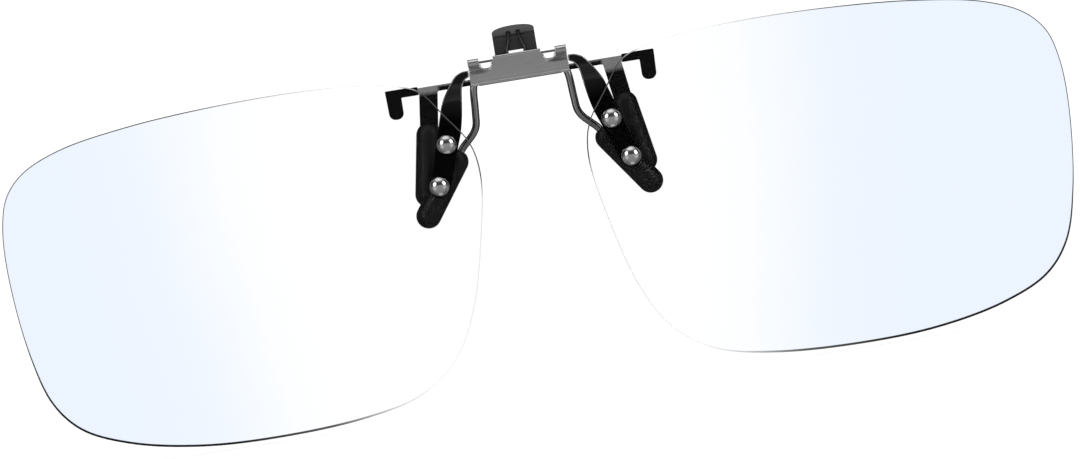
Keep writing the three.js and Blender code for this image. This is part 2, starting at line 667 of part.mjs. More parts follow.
// A torsion spring: up from behind the finger press, round the pin, and up the thumb pad to its pocket.
function springShape() {
  const path = [
    onTab(POCKET_X, POCKET_UP, -0.72),
    onTab(POCKET_X + 0.08, 1.9, -0.86),
    onTab(POCKET_X + 0.3, 1.1, -0.86),
    onTab(SPRING_INNER_X, 0.55, -0.78),
  ];
  const first = 0.08 * Math.PI;
  const last = -Math.PI * (2 * SPRING_TURNS - 1);
  const steps = 11 * SPRING_TURNS;
  for (let i = 0; i <= steps; i += 1) {
    const angle = THREE.MathUtils.lerp(first, last, i / steps);
    path.push(new THREE.Vector3(
      THREE.MathUtils.lerp(SPRING_INNER_X, SPRING_OUTER_X, i / steps),
      PIN_Y + SPRING_COIL * Math.cos(angle),
      PIN_Z + SPRING_COIL * Math.sin(angle),
    ));
  }
  path.push(new THREE.Vector3(SPRING_OUTER_X - 0.1, PIN_Y - SPRING_COIL - 0.12, PIN_Z + 0.42));
  return wire(path, SPRING_WIRE, 6, 76);
}

// ---- assembly --------------------------------------------------------------------------------------

const clip = new THREE.Group();

function add(name, geometry, look, place = [0, 0, 0]) {
  const mesh = new THREE.Mesh(geometry, looks[look]());
  mesh.name = name;
  mesh.position.set(...place);
  clip.add(mesh);
  return mesh;
}

function addPair(name, geometry, look) {
  add(`${name}_left`, geometry, look);
  add(`${name}_right`, mirrored(geometry), look);
}

addPair('lens', geometryOf(lensShape()), 'lens');
addPair('lens_arm', geometryOf(armShape()), 'gunmetal');
const shaft = new THREE.CylinderGeometry(SHAFT_RADIUS, SHAFT_RADIUS, 2 * SHAFT_HALF_LENGTH, 16);
add('flip_shaft', shaft, 'steel', [0, CHANNEL_Y, SHAFT_Z]).rotation.z = Math.PI / 2;

for (const [height, [x, z]] of Object.entries(RIVETS)) {
  for (const [side, sign] of [['left', 1], ['right', -1]]) {
    add(`rivet_${height}_${side}`, rivetShape(), 'chrome', [sign * x, HEAD_SEAT_Y, z]);
    add(`lens_washer_${height}_${side}`, ringShape(WASHER_RADIUS, WASHER_THICKNESS), 'nylon',
      [sign * x, WASHER_FRONT_Y, z]);
    add(`rivet_collar_${height}_${side}`, ringShape(WASHER_RADIUS, COLLAR_THICKNESS), 'steel',
      [sign * x, COLLAR_BACK_Y - COLLAR_THICKNESS, z]);
  }
}

const leg = frontLeg(LEG_RADIUS);
const frontSleeve = solid(capsule(FRONT_SLEEVE, -SLEEVE_Y)).subtract(solid(frontLeg(LEG_RADIUS + CLEARANCE)));
const rearSleeve = solid(capsule(REAR_SLEEVE, SLEEVE_Y)).subtract(solid(rearLeg(CLEARANCE)));

add('front_plate', geometryOf(frontPlateShape()), 'plate');
addPair('front_leg', leg, 'steel');
addPair('front_sleeve', geometryOf(frontSleeve), 'rubber');
add('hinge_pin', pinShape(), 'steel', [0, PIN_Y, PIN_Z]).rotation.z = Math.PI / 2;

addPair('torsion_spring', springShape(), 'steel');

add('rear_plate', geometryOf(rearPlateShape()), 'steel');
addPair('rear_sleeve', geometryOf(rearSleeve), 'rubber');
addPair('hook_cap', geometryOf(hookCapShape()), 'rubber');
add('thumb_pad', geometryOf(thumbPadShape()), 'rubber');

export default clip;
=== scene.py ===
from math import atan2, cos, hypot, pi, radians, sin, sqrt, tan

import bmesh
import bpy
from mathutils import Matrix, Vector


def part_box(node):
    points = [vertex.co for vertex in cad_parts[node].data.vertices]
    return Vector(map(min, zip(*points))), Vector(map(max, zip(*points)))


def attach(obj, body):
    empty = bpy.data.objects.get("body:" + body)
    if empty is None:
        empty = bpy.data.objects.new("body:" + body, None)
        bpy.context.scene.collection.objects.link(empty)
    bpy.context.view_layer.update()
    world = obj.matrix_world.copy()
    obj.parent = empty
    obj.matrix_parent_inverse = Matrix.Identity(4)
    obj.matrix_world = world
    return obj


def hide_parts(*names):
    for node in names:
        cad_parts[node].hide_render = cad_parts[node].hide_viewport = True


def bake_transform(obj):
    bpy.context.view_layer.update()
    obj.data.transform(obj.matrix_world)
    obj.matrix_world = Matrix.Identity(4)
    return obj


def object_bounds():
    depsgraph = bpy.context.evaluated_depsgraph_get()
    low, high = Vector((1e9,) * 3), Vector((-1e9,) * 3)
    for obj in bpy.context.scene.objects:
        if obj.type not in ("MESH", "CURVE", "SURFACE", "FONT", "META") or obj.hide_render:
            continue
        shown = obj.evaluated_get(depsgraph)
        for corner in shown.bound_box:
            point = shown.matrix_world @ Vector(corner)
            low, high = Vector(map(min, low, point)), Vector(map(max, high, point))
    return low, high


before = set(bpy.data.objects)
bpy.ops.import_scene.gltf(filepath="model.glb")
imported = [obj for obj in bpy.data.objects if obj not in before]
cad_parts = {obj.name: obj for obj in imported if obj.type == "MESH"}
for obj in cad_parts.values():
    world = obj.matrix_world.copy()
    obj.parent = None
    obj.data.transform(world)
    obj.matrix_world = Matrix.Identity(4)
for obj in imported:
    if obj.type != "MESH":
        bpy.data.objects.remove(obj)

CAD_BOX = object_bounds()
MM = 0.001
FRONT_CLIP, REAR_JAW, LENSES = "front_clip", "rear_jaw", "lenses"
SIDES = (("left", 1), ("right", -1))

# ---- sizes, as in the CAD part ----------------------------------------------------------------------

SLEEVE_RADIUS = 1.56
SLEEVE_Y = 1.71
FRONT_SLEEVE = ((9.6, 1.1), (14.0, -5.0))
REAR_SLEEVE = ((12.5, 5.0), (13.8, -2.3))
FRONT_MOUTH, REAR_MOUTH = 0.68, 0.9

SHEET = 0.3
SHEET_EDGE = 0.07
PLATE_HALF_WIDTH = 6.22
PLATE_BOTTOM = 9.9
CHANNEL_INNER = 0.55
CHANNEL_OUTER = 0.85
CHANNEL_Y = -2.1
CHANNEL_Z = 10.75
CHANNEL_BACK_Z = 11.7
PLATE_FRONT_Y = -2.95
NOTCH_X = 5.2
PRESS_HALF_WIDTH = 2.93
PRESS_FOOT = 11.75
PRESS_TOP = 13.1
PRESS_LEAN = radians(29)
HEM_ANGLE = 230
HEM_RADIUS = 0.14
EAR_BEND = (11.3, 12.6)
EAR_INNER = (3.3, 4.9)
EAR_SET_BACK = 0.26
SCOOP_X = 3.975
SCOOP_RADIUS = 0.745
LEAF_SHOULDER_Z = 12.5

PIN_Y = -2.55
PIN_Z = 12.8
PIN_RADIUS = 0.15
PIN_BORE = 0.2
KNUCKLE_RADIUS = 0.52
FRONT_KNUCKLE = (4.8, 6.22)
REAR_KNUCKLE = (2.25, 3.0)

SHAFT_Z = 11.65
SHAFT_RADIUS = 0.36
SHAFT_HALF_LENGTH = 6.27
LEG_RADIUS = 0.47
SPRING_WIRE = 0.15
SPRING_COIL = 0.41
SPRING_TURNS = 2.5
SPRING_INNER_X = 1.1
SPRING_OUTER_X = 2.0

REAR_SHEET = 0.35
REAR_CORE_HALF = 0.62
REAR_Y = SLEEVE_Y - REAR_SHEET / 2
BAR_BOTTOM = 10.3
BAR_TOP = 11.06
BAR_HALF_LENGTH = 16.9
FLANGE_HALF_LENGTH = 12.4
FLANGE_DEPTH = 1.05
ROOF_TOP = PIN_Z + KNUCKLE_RADIUS
ROOF_FRONT_Y = -1.75
HOOK_INNER_X = 15.3
HOOK_TIP_Z = 7.68
CAP_WALL = 0.16
CAP_START_X = 12.95

TAB_LEAN = radians(25)
TAB_FOOT = (-1.58, 13.15)
TAB_LENGTH = 3.72
TAB_HALF_WIDTH = 2.66
TONGUE_HALF = 2.1
TONGUE_TOP = 3.1
TAB_NOTCH = 0.92
POCKET_X = 0.62
POCKET_UP = 2.65
POCKET_RADIUS = 0.32
LIP_UP = 2.45
FACE_DEPTH = (-0.45, 0.55)
LIP_DEPTH = (-0.95, 0.5)
WINDOW_TOP = 13.72

ARM_THICKNESS = 0.5
ARM_HALF_WIDTH = 1.36
ARM_EDGE = 0.13
ARM_BORE = 0.62
ARM_BEND = (8.2, 10.9)
RIVETS = {"upper": (10.28, 3.25), "lower": (11.96, -1.7)}
RIVET_HEAD = 1.22
RIVET_HEAD_HEIGHT = 0.95
RIVET_LAND = 0.1
RIVET_SHANK = 0.6
RIVET_HOLE = 0.68
LENS_RADIUS = 150
LENS_APEX = (20, 3.8)
LENS_CENTRE = (37, -8)
LENS_THICKNESS = 1.8
LENS_OUTLINE = [
    (67.35, -3.5), (67.0, 2.2), (65.9, 5.7), (63.4, 8.3), (58.3, 10.4), (49.2, 11.85), (38.5, 12.55),
    (28.0, 12.65), (20.5, 12.2), (15.2, 11.35), (12.6, 10.25), (9.8, 6.6), (7.4, 3.0), (6.7, -1.0),
    (7.75, -8.1), (10.4, -17.8), (13.6, -23.4), (18.4, -26.9), (25.5, -28.6), (36.5, -29.3),
    (46.6, -28.9), (55.5, -27.2), (61.4, -24.6), (64.5, -20.9), (66.3, -14.5),
]

# ---- mesh helpers -----------------------------------------------------------------------------------


def spline(points, steps, closed=False):
    """A centripetal Catmull-Rom curve through the points, with so many steps from one to the next."""
    points = [Vector(p) for p in points]
    count = len(points)

    def control(i):
        if closed:
            return points[i % count]
        if i < 0:
            return 2 * points[0] - points[1]
        if i >= count:
            return 2 * points[-1] - points[-2]
        return points[i]

    result = []
    for i in range(count if closed else count - 1):
        p = [control(i + k) for k in (-1, 0, 1, 2)]
        t = [0.0]
        for a, b in zip(p, p[1:]):
            t.append(t[-1] + max(sqrt((b - a).length), 1e-6))
        for k in range(steps):
            u = t[1] + (t[2] - t[1]) * k / steps
            a = [p[j] + (p[j + 1] - p[j]) * ((u - t[j]) / (t[j + 1] - t[j])) for j in range(3)]
            b = [a[j] + (a[j + 1] - a[j]) * ((u - t[j]) / (t[j + 2] - t[j])) for j in range(2)]
            result.append(b[0] + (b[1] - b[0]) * ((u - t[1]) / (t[2] - t[1])))
    return result if closed else result + [points[-1]]


def mesh_of(corners, faces):
    """A closed mesh from corners in millimetres, with its faces turned outwards."""
    bm = bmesh.new()
    made = [bm.verts.new(Vector(c) * MM) for c in corners]
    for face in faces:
        bm.faces.new([made[i] for i in face])
    bmesh.ops.remove_doubles(bm, verts=bm.verts, dist=1e-8)
    bmesh.ops.recalc_face_normals(bm, faces=bm.faces)
    if bm.calc_volume(signed=True) < 0:
        bmesh.ops.reverse_faces(bm, faces=bm.faces)
    mesh = bpy.data.meshes.new("part")
    bm.to_mesh(mesh)
    bm.free()
    return mesh


def loft(loops):
    """Skins a row of loops of equal size, and closes both ends with one face."""
    size = len(loops[0])
    corners = [c for loop in loops for c in loop]
    faces = [
        (k * size + i, k * size + (i + 1) % size, (k + 1) * size + (i + 1) % size, (k + 1) * size + i)
        for k in range(len(loops) - 1) for i in range(size)
    ]
    last = (len(loops) - 1) * size
    return mesh_of(corners, faces + [tuple(range(size))[::-1], tuple(range(last, last + size))])


def rounded(corners, steps=6):
    """A closed outline from (x, y, radius) corners."""
    outline = []
    count = len(corners)
    for i, (x, y, radius) in enumerate(corners):
        here = Vector((x, y))
        if radius == 0:
            outline.append(here)
            continue
        before = (Vector(corners[i - 1][:2]) - here).normalized()
        after = (Vector(corners[(i + 1) % count][:2]) - here).normalized()
        half = before.angle(after) / 2
        reach = radius / tan(half)
        middle = here + (before + after).normalized() * (radius / sin(half))
        start = here + before * reach - middle
        turn = start.angle_signed(here + after * reach - middle)
        for k in range(steps + 1):
            outline.append(middle + Matrix.Rotation(-turn * k / steps, 2) @ start)
    return outline


def arc(x, y, radius, first, last, steps):
    """Points round a circle, between two angles in degrees."""
    angles = [radians(first + (last - first) * k / steps) for k in range(steps + 1)]
    return [Vector((x + radius * cos(a), y + radius * sin(a))) for a in angles]


def inset(outline, distance):
    """The outline moved inwards, with its corners mitred."""
    area = sum(a.x * b.y - a.y * b.x for a, b in zip(outline, outline[1:] + outline[:1]))
    turn = 1 if area > 0 else -1
    moved = []
    for i, here in enumerate(outline):
        a = (here - outline[i - 1]).normalized()
        b = (outline[(i + 1) % len(outline)] - here).normalized()
        normal = Vector((-a.y - b.y, a.x + b.x)) * turn
        scale = max(1 + a.dot(b), 0.5)
        moved.append(here + normal * (distance / scale))
    return moved


def edge_profile(radius, low, high):
    """(inset, height) pairs up the side of a plate with rounded edges."""
    quarter = [radians(90 * k / 3) for k in range(4)]
    below = [(radius * (1 - sin(a)), low + radius * (1 - cos(a))) for a in quarter]
    return below + [(r, high - (h - low)) for r, h in reversed(below)]


def slab(outline, low, high, edge, place=None):
    """A plate with rounded edges. The outline lies in its x and y, and it is as thick as low to high."""
    outline = [Vector(p) for p in outline]
    loops = [
        [Vector((p.x, p.y, height)) for p in inset(outline, distance)]
        for distance, height in edge_profile(edge, low, high)
    ]
    mesh = loft(loops)
    if place:
        mesh.transform(place)
        if place.determinant() < 0:
            mesh.flip_normals()
    return mesh


# Where a slab's own x, y and z point: an upright sheet, a section run across, or the thumb tab's face.
UPRIGHT = Matrix(((1, 0, 0, 0), (0, 0, 1, 0), (0, 1, 0, 0), (0, 0, 0, 1)))
ACROSS = Matrix(((0, 0, 1, 0), (1, 0, 0, 0), (0, 1, 0, 0), (0, 0, 0, 1)))
ON_TAB = Matrix((
    (1, 0, 0, 0),
    (0, sin(TAB_LEAN), cos(TAB_LEAN), TAB_FOOT[0] * MM),
    (0, cos(TAB_LEAN), -sin(TAB_LEAN), TAB_FOOT[1] * MM),
    (0, 0, 0, 1),
))


def on_tab(x, up, back):
    """A point on the leaning thumb tab: across, up its face and behind it."""
    return Vector((
        x,
        TAB_FOOT[0] + up * sin(TAB_LEAN) + back * cos(TAB_LEAN),
        TAB_FOOT[1] + up * cos(TAB_LEAN) - back * sin(TAB_LEAN),
    ))


def tube(points, radius, sides, tip):
    """A round wire along the points, with ends rounded by tip."""
    points = [Vector(p) for p in points]
    last = len(points) - 1
    tangents = [(points[min(i + 1, last)] - points[max(i - 1, 0)]).normalized() for i in range(last + 1)]
    across = tangents[0].orthogonal().normalized()
    rings = []
    for i, (point, tangent) in enumerate(zip(points, tangents)):
        if i:
            across = tangents[i - 1].rotation_difference(tangent) @ across
        across = (across - tangent * across.dot(tangent)).normalized()
        rings.append((point, tangent, across, tangent.cross(across)))

    def loop(ring, size, shift):
        point, tangent, across, other = ring
        turns = [2 * pi * k / sides for k in range(sides)]
        return [point + tangent * shift + size * (cos(t) * across + sin(t) * other) for t in turns]

    caps = [(radius - tip * (1 - cos(a)), tip * sin(a)) for a in (radians(85), radians(60), radians(30))]
    loops = [loop(rings[0], size, -shift) for size, shift in caps]
    loops += [loop(ring, radius, 0) for ring in rings]
    loops += [loop(rings[-1], size, shift) for size, shift in reversed(caps)]
    return loft(loops)


def eased(value, start, end):
    """0 before start, 1 after end, and smooth between them."""
    part = min(max((value - start) / (end - start), 0), 1)
    return part * part * (3 - 2 * part)


def slice_up(bm, direction, start, end, count):
    """Cuts a mesh across into thin strips, so that it can be bent smoothly."""
    aim = Vector(direction)
    for k in range(count):
        bmesh.ops.bisect_plane(
            bm, geom=bm.verts[:] + bm.edges[:] + bm.faces[:], dist=1e-7,
            plane_co=aim * (start + (end - start) * k / (count - 1)) * MM, plane_no=aim,
        )


def turned(profile, segments, place):
    """A body of revolution about its own z, from (radius, height) pairs."""
    loops = []
    for radius, height in profile:
        angles = [2 * pi * k / segments for k in range(segments)]
        loops.append([Vector((radius * cos(a), radius * sin(a), height)) for a in angles])
    mesh = loft(loops)
    mesh.transform(place)
    return mesh


def about(axis, point):
    """Places a turned body with its axis along the given one, at a point in millimetres."""
    return Matrix.Translation(Vector(point) * MM) @ Vector(axis).to_track_quat("Z", "Y").to_matrix().to_4x4()


def applied(mesh, add_modifiers):
    """The mesh after the modifiers that add_modifiers puts on a temporary object."""
    carrier = bpy.data.objects.new("carrier", mesh)
    bpy.context.scene.collection.objects.link(carrier)
    add_modifiers(carrier)
    graph = bpy.context.evaluated_depsgraph_get()
    result = bpy.data.meshes.new_from_object(carrier.evaluated_get(graph))
    bpy.data.objects.remove(carrier)
    return result


def combined(operation, first, *others):
    """The union or difference of closed meshes."""
    helpers = []
    for mesh in others:
        helper = bpy.data.objects.new("helper", mesh)
        bpy.context.scene.collection.objects.link(helper)
        helpers.append(helper)

    def add(carrier):
        for helper in helpers:
            modifier = carrier.modifiers.new("combine", "BOOLEAN")
            modifier.operation = operation
            modifier.solver = "MANIFOLD"
            modifier.object = helper

    result = applied(first, add)
    for helper in helpers:
        bpy.data.objects.remove(helper)
    return result


def shaded(mesh, angle=32):
    """Smooth shading with sharp creases, and flat faces kept flat next to rounded edges."""
    mesh.polygons.foreach_set("use_smooth", [True] * len(mesh.polygons))
    mesh.set_sharp_from_angle(angle=radians(angle))

    def add(carrier):
        modifier = carrier.modifiers.new("normals", "WEIGHTED_NORMAL")
        modifier.keep_sharp = True
        modifier.weight = 90

    return applied(mesh, add)


def mirrored(mesh):
    """The same shape for the wearer's right side."""
    copy = mesh.copy()
    copy.transform(Matrix.Scale(-1, 4, (1, 0, 0)))
    copy.flip_normals()
    return copy


def piece(name, mesh, body, looks, nodes):
    """A finished piece that stands for some CAD nodes."""
    obj = bpy.data.objects.new(name, mesh)
    bpy.context.scene.collection.objects.link(obj)
    mesh.name = name
    chosen = [min(polygon.material_index, len(looks) - 1) for polygon in mesh.polygons]
    mesh.materials.clear()
    for look in looks:
        mesh.materials.append(look)
    mesh.polygons.foreach_set("material_index", chosen)
    if body:
        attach(obj, body)
    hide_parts(*nodes)
    return obj


def pair(name, mesh, body, looks, node):
    """The same piece on both sides, each standing for its own CAD node."""
    for side, sign in SIDES:
        shape = mesh if sign > 0 else mirrored(mesh)
        piece(f"{name}_{side}", shaded(shape), body, looks, [f"{node}_{side}"])


# ---- materials --------------------------------------------------------------------------------------


def add_node(tree, kind, inputs, **settings):
    """A new node with its settings, and with its inputs linked or set."""
    made = tree.nodes.new(kind)
    for key, value in settings.items():
        setattr(made, key, value)
    for key, value in inputs.items():
        if isinstance(value, bpy.types.NodeSocket):
            tree.links.new(value, made.inputs[key])
        else:
            made.inputs[key].default_value = value
    return made


def fill_ramp(node, stops):
    """Sets a ramp's colours from (position, grey or colour) pairs in order."""
    elements = node.color_ramp.elements
    elements[0].position, elements[1].position = stops[0][0], stops[-1][0]
    for position, _ in stops[1:-1]:
        elements.new(position)
    for element, (_, colour) in zip(elements, stops):
        element.color = (*(colour if isinstance(colour, tuple) else (colour,) * 3), 1)


class Look:
    """A material on one Principled shader. Constant values go straight onto its sockets."""

    def __init__(self, name, **constants):
        self.material = bpy.data.materials.new(name)
        self.material.use_nodes = True
        self.tree = self.material.node_tree
        self.shader = self.tree.nodes["Principled BSDF"]
        self.output = self.tree.nodes["Material Output"]
        for socket, value in constants.items():
            self.shader.inputs[socket.replace("_", " ")].default_value = value
        self.place = self.tree.nodes.new("ShaderNodeTexCoord").outputs["Object"]

    def node(self, kind, inputs, **settings):
        return add_node(self.tree, kind, inputs, **settings)

    def noise(self, grain, detail=3.0, rough=0.5):
        """Noise whose grain is this long in each direction, in millimetres."""
        scale = Vector([1 / (g * MM) for g in grain])
        mapping = self.node("ShaderNodeMapping", {"Vector": self.place, "Scale": scale})
        inputs = {"Vector": mapping.outputs[0], "Scale": 1.0, "Detail": detail, "Roughness": rough}
        return self.node("ShaderNodeTexNoise", inputs).outputs["Fac"]

    def ramp(self, value, stops):
        made = self.node("ShaderNodeValToRGB", {"Fac": value})
        fill_ramp(made, stops)
        return made.outputs["Color"]

    def spread(self, value, low, high, new_low=0.0, new_high=1.0):
        """The value mapped from one range to another, and held at its ends."""
        inputs = {"Value": value, "From Min": low, "From Max": high, "To Min": new_low, "To Max": new_high}
        return self.node("ShaderNodeMapRange", inputs).outputs["Result"]

    def axis(self, name):
        return self.node("ShaderNodeSeparateXYZ", {"Vector": self.place}).outputs[name]

    def math(self, operation, *values):
        return self.node("ShaderNodeMath", dict(enumerate(values)), operation=operation).outputs[0]

    def times(self, a, b):
        return self.math("MULTIPLY", a, b)

    def mixed(self, factor, a, b):
        made = self.node("ShaderNodeMix", {"Factor": factor}, data_type="RGBA")
        for key, value in (("A", a), ("B", b)):
            socket = [s for s in made.inputs if s.name == key and s.type == "RGBA"][0]
            if isinstance(value, bpy.types.NodeSocket):
                self.tree.links.new(value, socket)
            else:
                socket.default_value = (*value, 1)
        return [s for s in made.outputs if s.type == "RGBA"][0]

    def link(self, value, socket):
        self.tree.links.new(value, self.shader.inputs[socket])

    def paint(self, factor, colour):
        """Mixes a colour over the base colour that is already linked."""
        base = self.shader.inputs["Base Color"].links[0].from_socket
        self.link(self.mixed(factor, base, colour), "Base Color")

    def bump(self, height, strength, depth):
        inputs = {"Height": height, "Strength": strength, "Distance": depth * MM}
        self.link(self.node("ShaderNodeBump", inputs).outputs[0], "Normal")


def metal(name, dark, light, rough, grain, bump=0.15):
    """Metal with fine drawing or brushing lines along its grain and a faint cloudiness."""
    look = Look(name, Metallic=1.0)
    lines = look.noise(grain, 4.0, 0.6)
    cloud = look.noise((1.4, 1.4, 1.4), 2.0)
    both = look.math("ADD", look.times(lines, 0.6), look.times(cloud, 0.4))
    look.link(look.ramp(both, [(0.3, dark), (0.7, light)]), "Base Color")
    look.link(look.spread(lines, 0.3, 0.7, rough[0], rough[1]), "Roughness")
    look.bump(lines, bump, 0.004)
    return look


plate_steel = metal(
    "satin_nickel", (0.82, 0.82, 0.825), (0.92, 0.92, 0.925), (0.20, 0.30), (3.0, 0.05, 0.05)).material
wire_steel = metal(
    "drawn_steel", (0.36, 0.36, 0.36), (0.50, 0.50, 0.50), (0.14, 0.22), (0.06, 0.06, 2.0), 0.1).material
chrome = metal(
    "polished_chrome", (0.86, 0.86, 0.86), (0.94, 0.94, 0.94), (0.09, 0.15), (0.3, 0.3, 0.3), 0.03).material
spring_steel = metal(
    "spring_steel", (0.05, 0.05, 0.05), (0.10, 0.10, 0.10), (0.25, 0.35), (0.05, 0.05, 0.6), 0.1).material


def coated(name, low, high, rough, grain, depth, strength, specular):
    """A coating or moulding with a fine grain and faintly uneven colour."""
    look = Look(name, Specular_IOR_Level=specular)
    fine = look.noise((grain, grain, grain), 3.0, 0.55)
    broad = look.noise((2.5, 2.5, 2.5), 2.0)
    look.link(look.ramp(broad, [(0.35, low), (0.65, high)]), "Base Color")
    look.link(look.spread(fine, 0.3, 0.7, rough[0], rough[1]), "Roughness")
    look.bump(fine, strength, depth)
    return look


rubber = coated("black_rubber", (0.0035,) * 3, (0.006,) * 3, (0.44, 0.54), 0.05, 0.003, 0.12, 0.42).material
dipped = coated("dipped_coat", (0.0020,) * 3, (0.0035,) * 3, (0.42, 0.54), 0.08, 0.003, 0.12, 0.14).material
nylon = coated(
    "clear_nylon", (0.62, 0.63, 0.64), (0.70, 0.71, 0.72), (0.35, 0.5), 0.3, 0.004, 0.1, 0.5).material

# Where painted light and shade begin and end, in metres of the object's own frame: across from the middle, or up.
PAINTED_LIGHT_ON_LIP = (0.0150, 0.0163)
ARM_SHADE_BEHIND_LENS = (0.0085, 0.0060)
EDGE_SHADE_BEHIND_LENS = (0.0100, 0.0066)
UNSHADED_TOP = (0.01075, 0.01095)
UNSHADED_NECK = (0.0099, 0.0105)
NECK_ACROSS = (0.0102, 0.0106)
HINGE_ACROSS = (0.0034, 0.0031)
MIDDLE = (-0.001, 0.001)


def moulded_look():
    """Black plastic, painted paler on the lip that the thumb presses: a painted highlight that lifts the
    downward-facing lip out of its shade.
    """
    look = coated("moulded_black", (0.020,) * 3, (0.028,) * 3, (0.36, 0.46), 0.05, 0.003, 0.2, 0.3)
    # painted highlight: the lip is painted paler than the rest of the pad
    look.paint(look.spread(look.axis("Z"), *PAINTED_LIGHT_ON_LIP), (0.100, 0.100, 0.102))
    return look.material


def arm_face_look():
    """Dark steel: its near-black face is partly plating and partly a painted dark reflection, and it is painted
    deeper black as painted shade where the arm lies behind the lens.
    """
    look = metal(
        "gunmetal", (0.026, 0.026, 0.027), (0.040, 0.040, 0.041), (0.36, 0.46), (0.05, 0.05, 1.6), 0.08)
    # painted shade: deeper black where the lens lies in front of the arm
    look.paint(look.spread(look.axis("Z"), *ARM_SHADE_BEHIND_LENS), (0.006, 0.006, 0.006))
    return look.material


def cut_edge_look():
    """The arm's cut edge, polished, and painted dark as painted shade where it lies behind the lens."""
    look = metal("cut_edge", (0.50, 0.50, 0.50), (0.62, 0.62, 0.62), (0.28, 0.38), (0.05, 0.05, 0.8), 0.08)
    # painted shade: the edge is painted dark where the lens lies in front of it
    look.paint(look.spread(look.axis("Z"), *EDGE_SHADE_BEHIND_LENS), (0.012, 0.012, 0.012))
    return look.material


def jaw_look():
    """Steel painted near-black over most of the sheet as painted shade and dark reflection, and left bright along
    the top, over the legs' bends and in the middle at the hinge, where it catches the light.
    """
    look = metal("steel_painted_dark", (0.72, 0.72, 0.72), (0.86, 0.86, 0.86), (0.22, 0.34), (1.5, 0.06, 0.06), 0.1)
    colour = look.shader.inputs["Base Color"].links[0].from_socket
    ragged_edge = look.times(look.math("SUBTRACT", look.noise((0.5, 0.5, 0.25)), 0.5), 0.0003)
    height = look.math("ADD", look.axis("Z"), ragged_edge)
    out = look.math("ABSOLUTE", look.axis("X"))
    top = look.spread(height, *UNSHADED_TOP)
    # the wearer's left neck is left bright further down before its painted shade begins
    left_side = look.spread(look.axis("X"), *MIDDLE)
    neck_height = look.math("ADD", height, look.times(left_side, 0.0008))
    neck = look.times(look.spread(out, *NECK_ACROSS), look.spread(neck_height, *UNSHADED_NECK))
    hinge = look.spread(out, *HINGE_ACROSS)
    unshaded = look.math("MAXIMUM", look.math("MAXIMUM", top, neck), hinge)
    # painted shade and dark reflection: near-black over the steel everywhere but the bright strips
    look.link(look.mixed(unshaded, (0.024, 0.024, 0.025), colour), "Base Color")
    return look.material


moulded = moulded_look()
gunmetal = arm_face_look()
cut_edge = cut_edge_look()
jaw_steel = jaw_look()

# How much of the painted blue reflection of the coating the glass shows, from its first trace near the nose to its
# full depth.
BLUE_REFLECTION_RAMP = [(0.0, 0.0), (0.13, 0.13), (0.27, 0.24), (0.4, 0.47), (0.53, 0.7), (0.67, 0.88), (0.95, 1.0)]
BLUE_REFLECTION_ACROSS = (0.030, 0.060)
BLUE_REFLECTION_NEARER_ON_LEFT = 0.0115
BLUE_REFLECTION_NEARER_BELOW = 0.004
BLUE_REFLECTION_BELOW = (0.0, -0.025)
BLUE_REFLECTION_CLOUD = 0.0006
CLEAR_GLASS, BLUE_REFLECTION_GLASS = (0.91, 0.91, 0.91), (0.76, 0.815, 0.90)
# Where the ground edge's colour changes: painted shade, nearly black, along the lower outer side, and frosted with
# a painted glow towards the nose.
PAINTED_SHADE_BELOW = (-0.010, -0.024)
PAINTED_SHADE_ACROSS = (0.016, 0.030)
FROSTED_ACROSS = (0.042, 0.022)
CLEAR_OF_CLIP = (0.0125, 0.0150)
BELOW_CLIP = (-0.001, -0.004)
PAINTED_GLOW_UP = (-0.002, 0.007)
PAINTED_GLOW_STRENGTH = (0.3, 0.85)


def lens_glass():
    """Clear polycarbonate, white at the nose, with the blue reflection of its coating painted into its colour
    towards the temples.
    """
    look = Look(
        "lens_glass", Transmission_Weight=1.0, IOR=1.5, Roughness=0.0, Specular_Tint=(0.05, 0.05, 0.06, 1))
    cloud = look.spread(look.noise((9, 9, 9), 2.0), 0.3, 0.7, -BLUE_REFLECTION_CLOUD, BLUE_REFLECTION_CLOUD)
    across = look.math("ADD", look.axis("X"), cloud)
    lower = look.spread(look.axis("Z"), *BLUE_REFLECTION_BELOW, 0.0, BLUE_REFLECTION_NEARER_BELOW)
    left_side = look.times(look.spread(across, *MIDDLE), BLUE_REFLECTION_NEARER_ON_LEFT)
    out = look.math("ADD", look.math("ADD", look.math("ABSOLUTE", across), lower), left_side)
    amount = look.ramp(look.spread(out, *BLUE_REFLECTION_ACROSS), BLUE_REFLECTION_RAMP)
    # painted reflection: the coating's blue reflection is painted into the glass's colour, nearer the nose on the
    # wearer's left lens and lower down
    look.link(look.mixed(amount, CLEAR_GLASS, BLUE_REFLECTION_GLASS), "Base Color")
    # light passes straight through on its way to what the lens would shade
    clear = look.node("ShaderNodeBsdfTransparent", {"Color": (0.80, 0.80, 0.80, 1)})
    path = look.node("ShaderNodeLightPath", {})
    mix = look.node("ShaderNodeMixShader", {
        0: path.outputs["Is Shadow Ray"], 1: look.shader.outputs[0], 2: clear.outputs[0]})
    look.tree.links.new(mix.outputs[0], look.output.inputs["Surface"])
    return look.material


